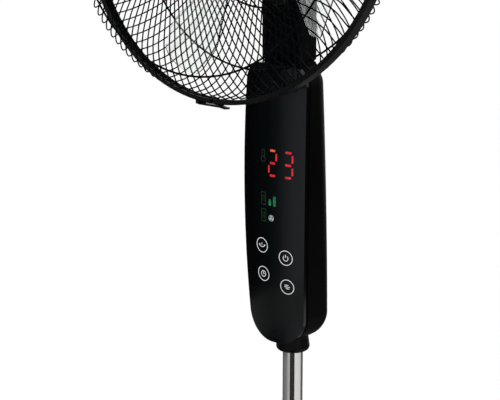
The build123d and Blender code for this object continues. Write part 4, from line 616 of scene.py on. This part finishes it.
FRAME_X = -0.0091
FRAME_LEVELS = (0.6700, 0.6503)
FRAME_LINE = 0.0008
FRAME_HALF_WIDTH = 0.0034
FRAME_HALF_HEIGHT = 0.0072
FRAME_UPRIGHT = 0.0148
FRAME_LEVEL = 0.0074
FRAME_MARK_SPREAD = 0.0012
FRAME_MARK_LINE = 0.0007
FRAME_MARK_LENGTH = 0.0080
sign_shapes = []
for z in FRAME_LEVELS:
    for side in (-1, 1):
        sign_shapes.append(flat_bar(FRAME_X + side * FRAME_HALF_WIDTH, z, FRAME_LINE, FRAME_UPRIGHT))
        sign_shapes.append(flat_bar(FRAME_X, z + side * FRAME_HALF_HEIGHT, FRAME_LEVEL, FRAME_LINE))
        mark_x = FRAME_X + side * FRAME_MARK_SPREAD
        sign_shapes.append(flat_bar(mark_x, z, FRAME_MARK_LINE, FRAME_MARK_LENGTH))

HEAT_SIGN = (-0.0100, 0.7197)
HEAT_LINE = 0.0009
HEAT_STEM_SPREAD = 0.0019
HEAT_STEM_RISE = 0.0020
HEAT_STEM_LENGTH = 0.0090
HEAT_CAP_RISE = 0.0066
HEAT_CAP_WIDTH = 0.0040
HEAT_BULB_DROP = 0.0040
HEAT_BULB_RADIUS = 0.0036
HEAT_BULB_CORNERS = 32
x, z = HEAT_SIGN
for side in (-1, 1):
    sign_shapes.append(flat_bar(x + side * HEAT_STEM_SPREAD, z + HEAT_STEM_RISE, HEAT_LINE, HEAT_STEM_LENGTH))
sign_shapes.append(flat_bar(x, z + HEAT_CAP_RISE, HEAT_CAP_WIDTH, HEAT_LINE))
sign_shapes.append(flat_ring(x, z - HEAT_BULB_DROP, HEAT_BULB_RADIUS, HEAT_LINE, HEAT_BULB_CORNERS))
dim_green_glow = lit("dim_green_glow", (0.002, 0.012, 0.004), (0.004, 0.026, 0.010))
lay_on_panel("green_signs", sign_shapes, dim_green_glow)

FAN_SIGN = (0.0022, 0.6482)
FAN_RING_RADIUS = 0.0036
FAN_RING_LINE = 0.0006
FAN_RING_CORNERS = 40
FAN_LOBES = 3
FAN_LOBE_SPREAD = 0.0016
FAN_LOBE_RADIUS = 0.00115
FAN_LOBE_CORNERS = 20
x, z = FAN_SIGN
fan_shapes = [flat_ring(x, z, FAN_RING_RADIUS, FAN_RING_LINE, FAN_RING_CORNERS)]
for lobe in range(FAN_LOBES):
    turn = radians(90 + 360 / FAN_LOBES * lobe)
    fan_shapes.append(flat_disc(x + FAN_LOBE_SPREAD * cos(turn), z + FAN_LOBE_SPREAD * sin(turn),
                                FAN_LOBE_RADIUS, FAN_LOBE_CORNERS))
white_glow = lit("white_glow", (0.30, 0.34, 0.34), (0.5, 0.54, 0.54))
lay_on_panel("white_sign", fan_shapes, white_glow)


# Inside the column: two green circuit boards, the run capacitor in its white case, a smoked display block,
# conductive rubber pads behind the keys, and the rubber gland at the back. The two swing gears in the head
# are white plastic too.
board_green = moulded("board_green", (0.02, 0.12, 0.05), roughness=0.4, specular=0.5,
                      grain_mm=2.0, grain_depth_mm=0.05)
white_case = moulded("white_case", (0.75, 0.75, 0.72), roughness=0.45, specular=0.4,
                     grain_mm=1.0, grain_depth_mm=0.03, patch=0.06)
smoked_block = moulded("smoked_block", (0.02, 0.02, 0.022), roughness=0.25, specular=0.5)
dress(board_green, "display_board", "power_board")
dress(white_case, "run_capacitor", "swing_gear", "swing_pinion")
dress(smoked_block, "digit_display")
dress(rubber_black, "touch_pads", "cord_gland")


# The head: moulded black covers round the motor, whose cast bells hold a copper winding and bronze bushes.
# It stands on a bracket that swings on the swivel block.
copper = bare_metal("copper", (0.6, 0.27, 0.12), roughness=0.35)
bronze = bare_metal("bronze", (0.55, 0.4, 0.2), roughness=0.4)
die_cast = bare_metal("die_cast", (0.55, 0.55, 0.56), roughness=0.45)
dress(copper, "stator_winding")
dress(bronze, "motor_bushes", "swing_bush")
dress(die_cast, "front_bell", "rear_bell")
dress(satin_black, "motor_front_cover", "rear_cover")
dress(grip_black, "swivel_block", "tilt_washers", "guard_nut", "badge_plate", "spinner")


# The guards: black coated wire ribs spot welded to hoops, and the plate that carries the rear ones. A gloss
# badge sits in the middle of the front ones, and the clamp ring with its latch holds both rim to rim.
wire_coat = moulded("wire_coat", (0.0016, 0.0020, 0.0022), roughness=0.45, specular=0.012,
                    grain_mm=1.5, grain_depth_mm=0.03)
ring_black = moulded("ring_black", (0.0020, 0.0020, 0.0019), roughness=0.28, specular=0.09,
                     grain_mm=0.6, grain_depth_mm=0.02)
dress(wire_coat, "front_guard_ribs", "rear_guard_ribs", "front_guard_hoops", "rear_guard_hoops")
dress(black_coat, "rear_guard_plate")
dress(ring_black, "guard_ring", "ring_latch")
dress(collar_gloss, "front_badge")


# The blades: one clear moulding of five blades and a hub, faintly tinted, pushed on the shaft over a cross
# pin. Its tone and gloss drift a little, as in any large thin moulding.
CLEAR_IOR = 1.22
CLEAR_TONES = ((0.0, (0.88, 0.93, 0.91)), (1.0, (0.93, 0.96, 0.945)))
CLEAR_ROUGHNESS = (0.02, 0.06)
HAZE_SCALE = 9.0
HAZE_DETAIL = 3.0
clear_plastic = bpy.data.materials.new("clear_plastic")
clear_plastic.use_nodes = True
clear_tree = clear_plastic.node_tree
clear_skin = clear_tree.nodes["Principled BSDF"]
clear_skin.inputs["Transmission Weight"].default_value = 1.0
clear_skin.inputs["IOR"].default_value = CLEAR_IOR
clear_place = clear_tree.nodes.new("ShaderNodeTexCoord")
haze = noise(clear_tree, clear_place.outputs["Object"], HAZE_SCALE, HAZE_DETAIL)
clear_tree.links.new(tone_along(clear_tree, haze, CLEAR_TONES), clear_skin.inputs["Base Color"])
clear_gloss = mapped(clear_tree, haze, 0.0, 1.0, *CLEAR_ROUGHNESS)
clear_tree.links.new(clear_gloss, clear_skin.inputs["Roughness"])
dress(clear_plastic, "fan_blade")
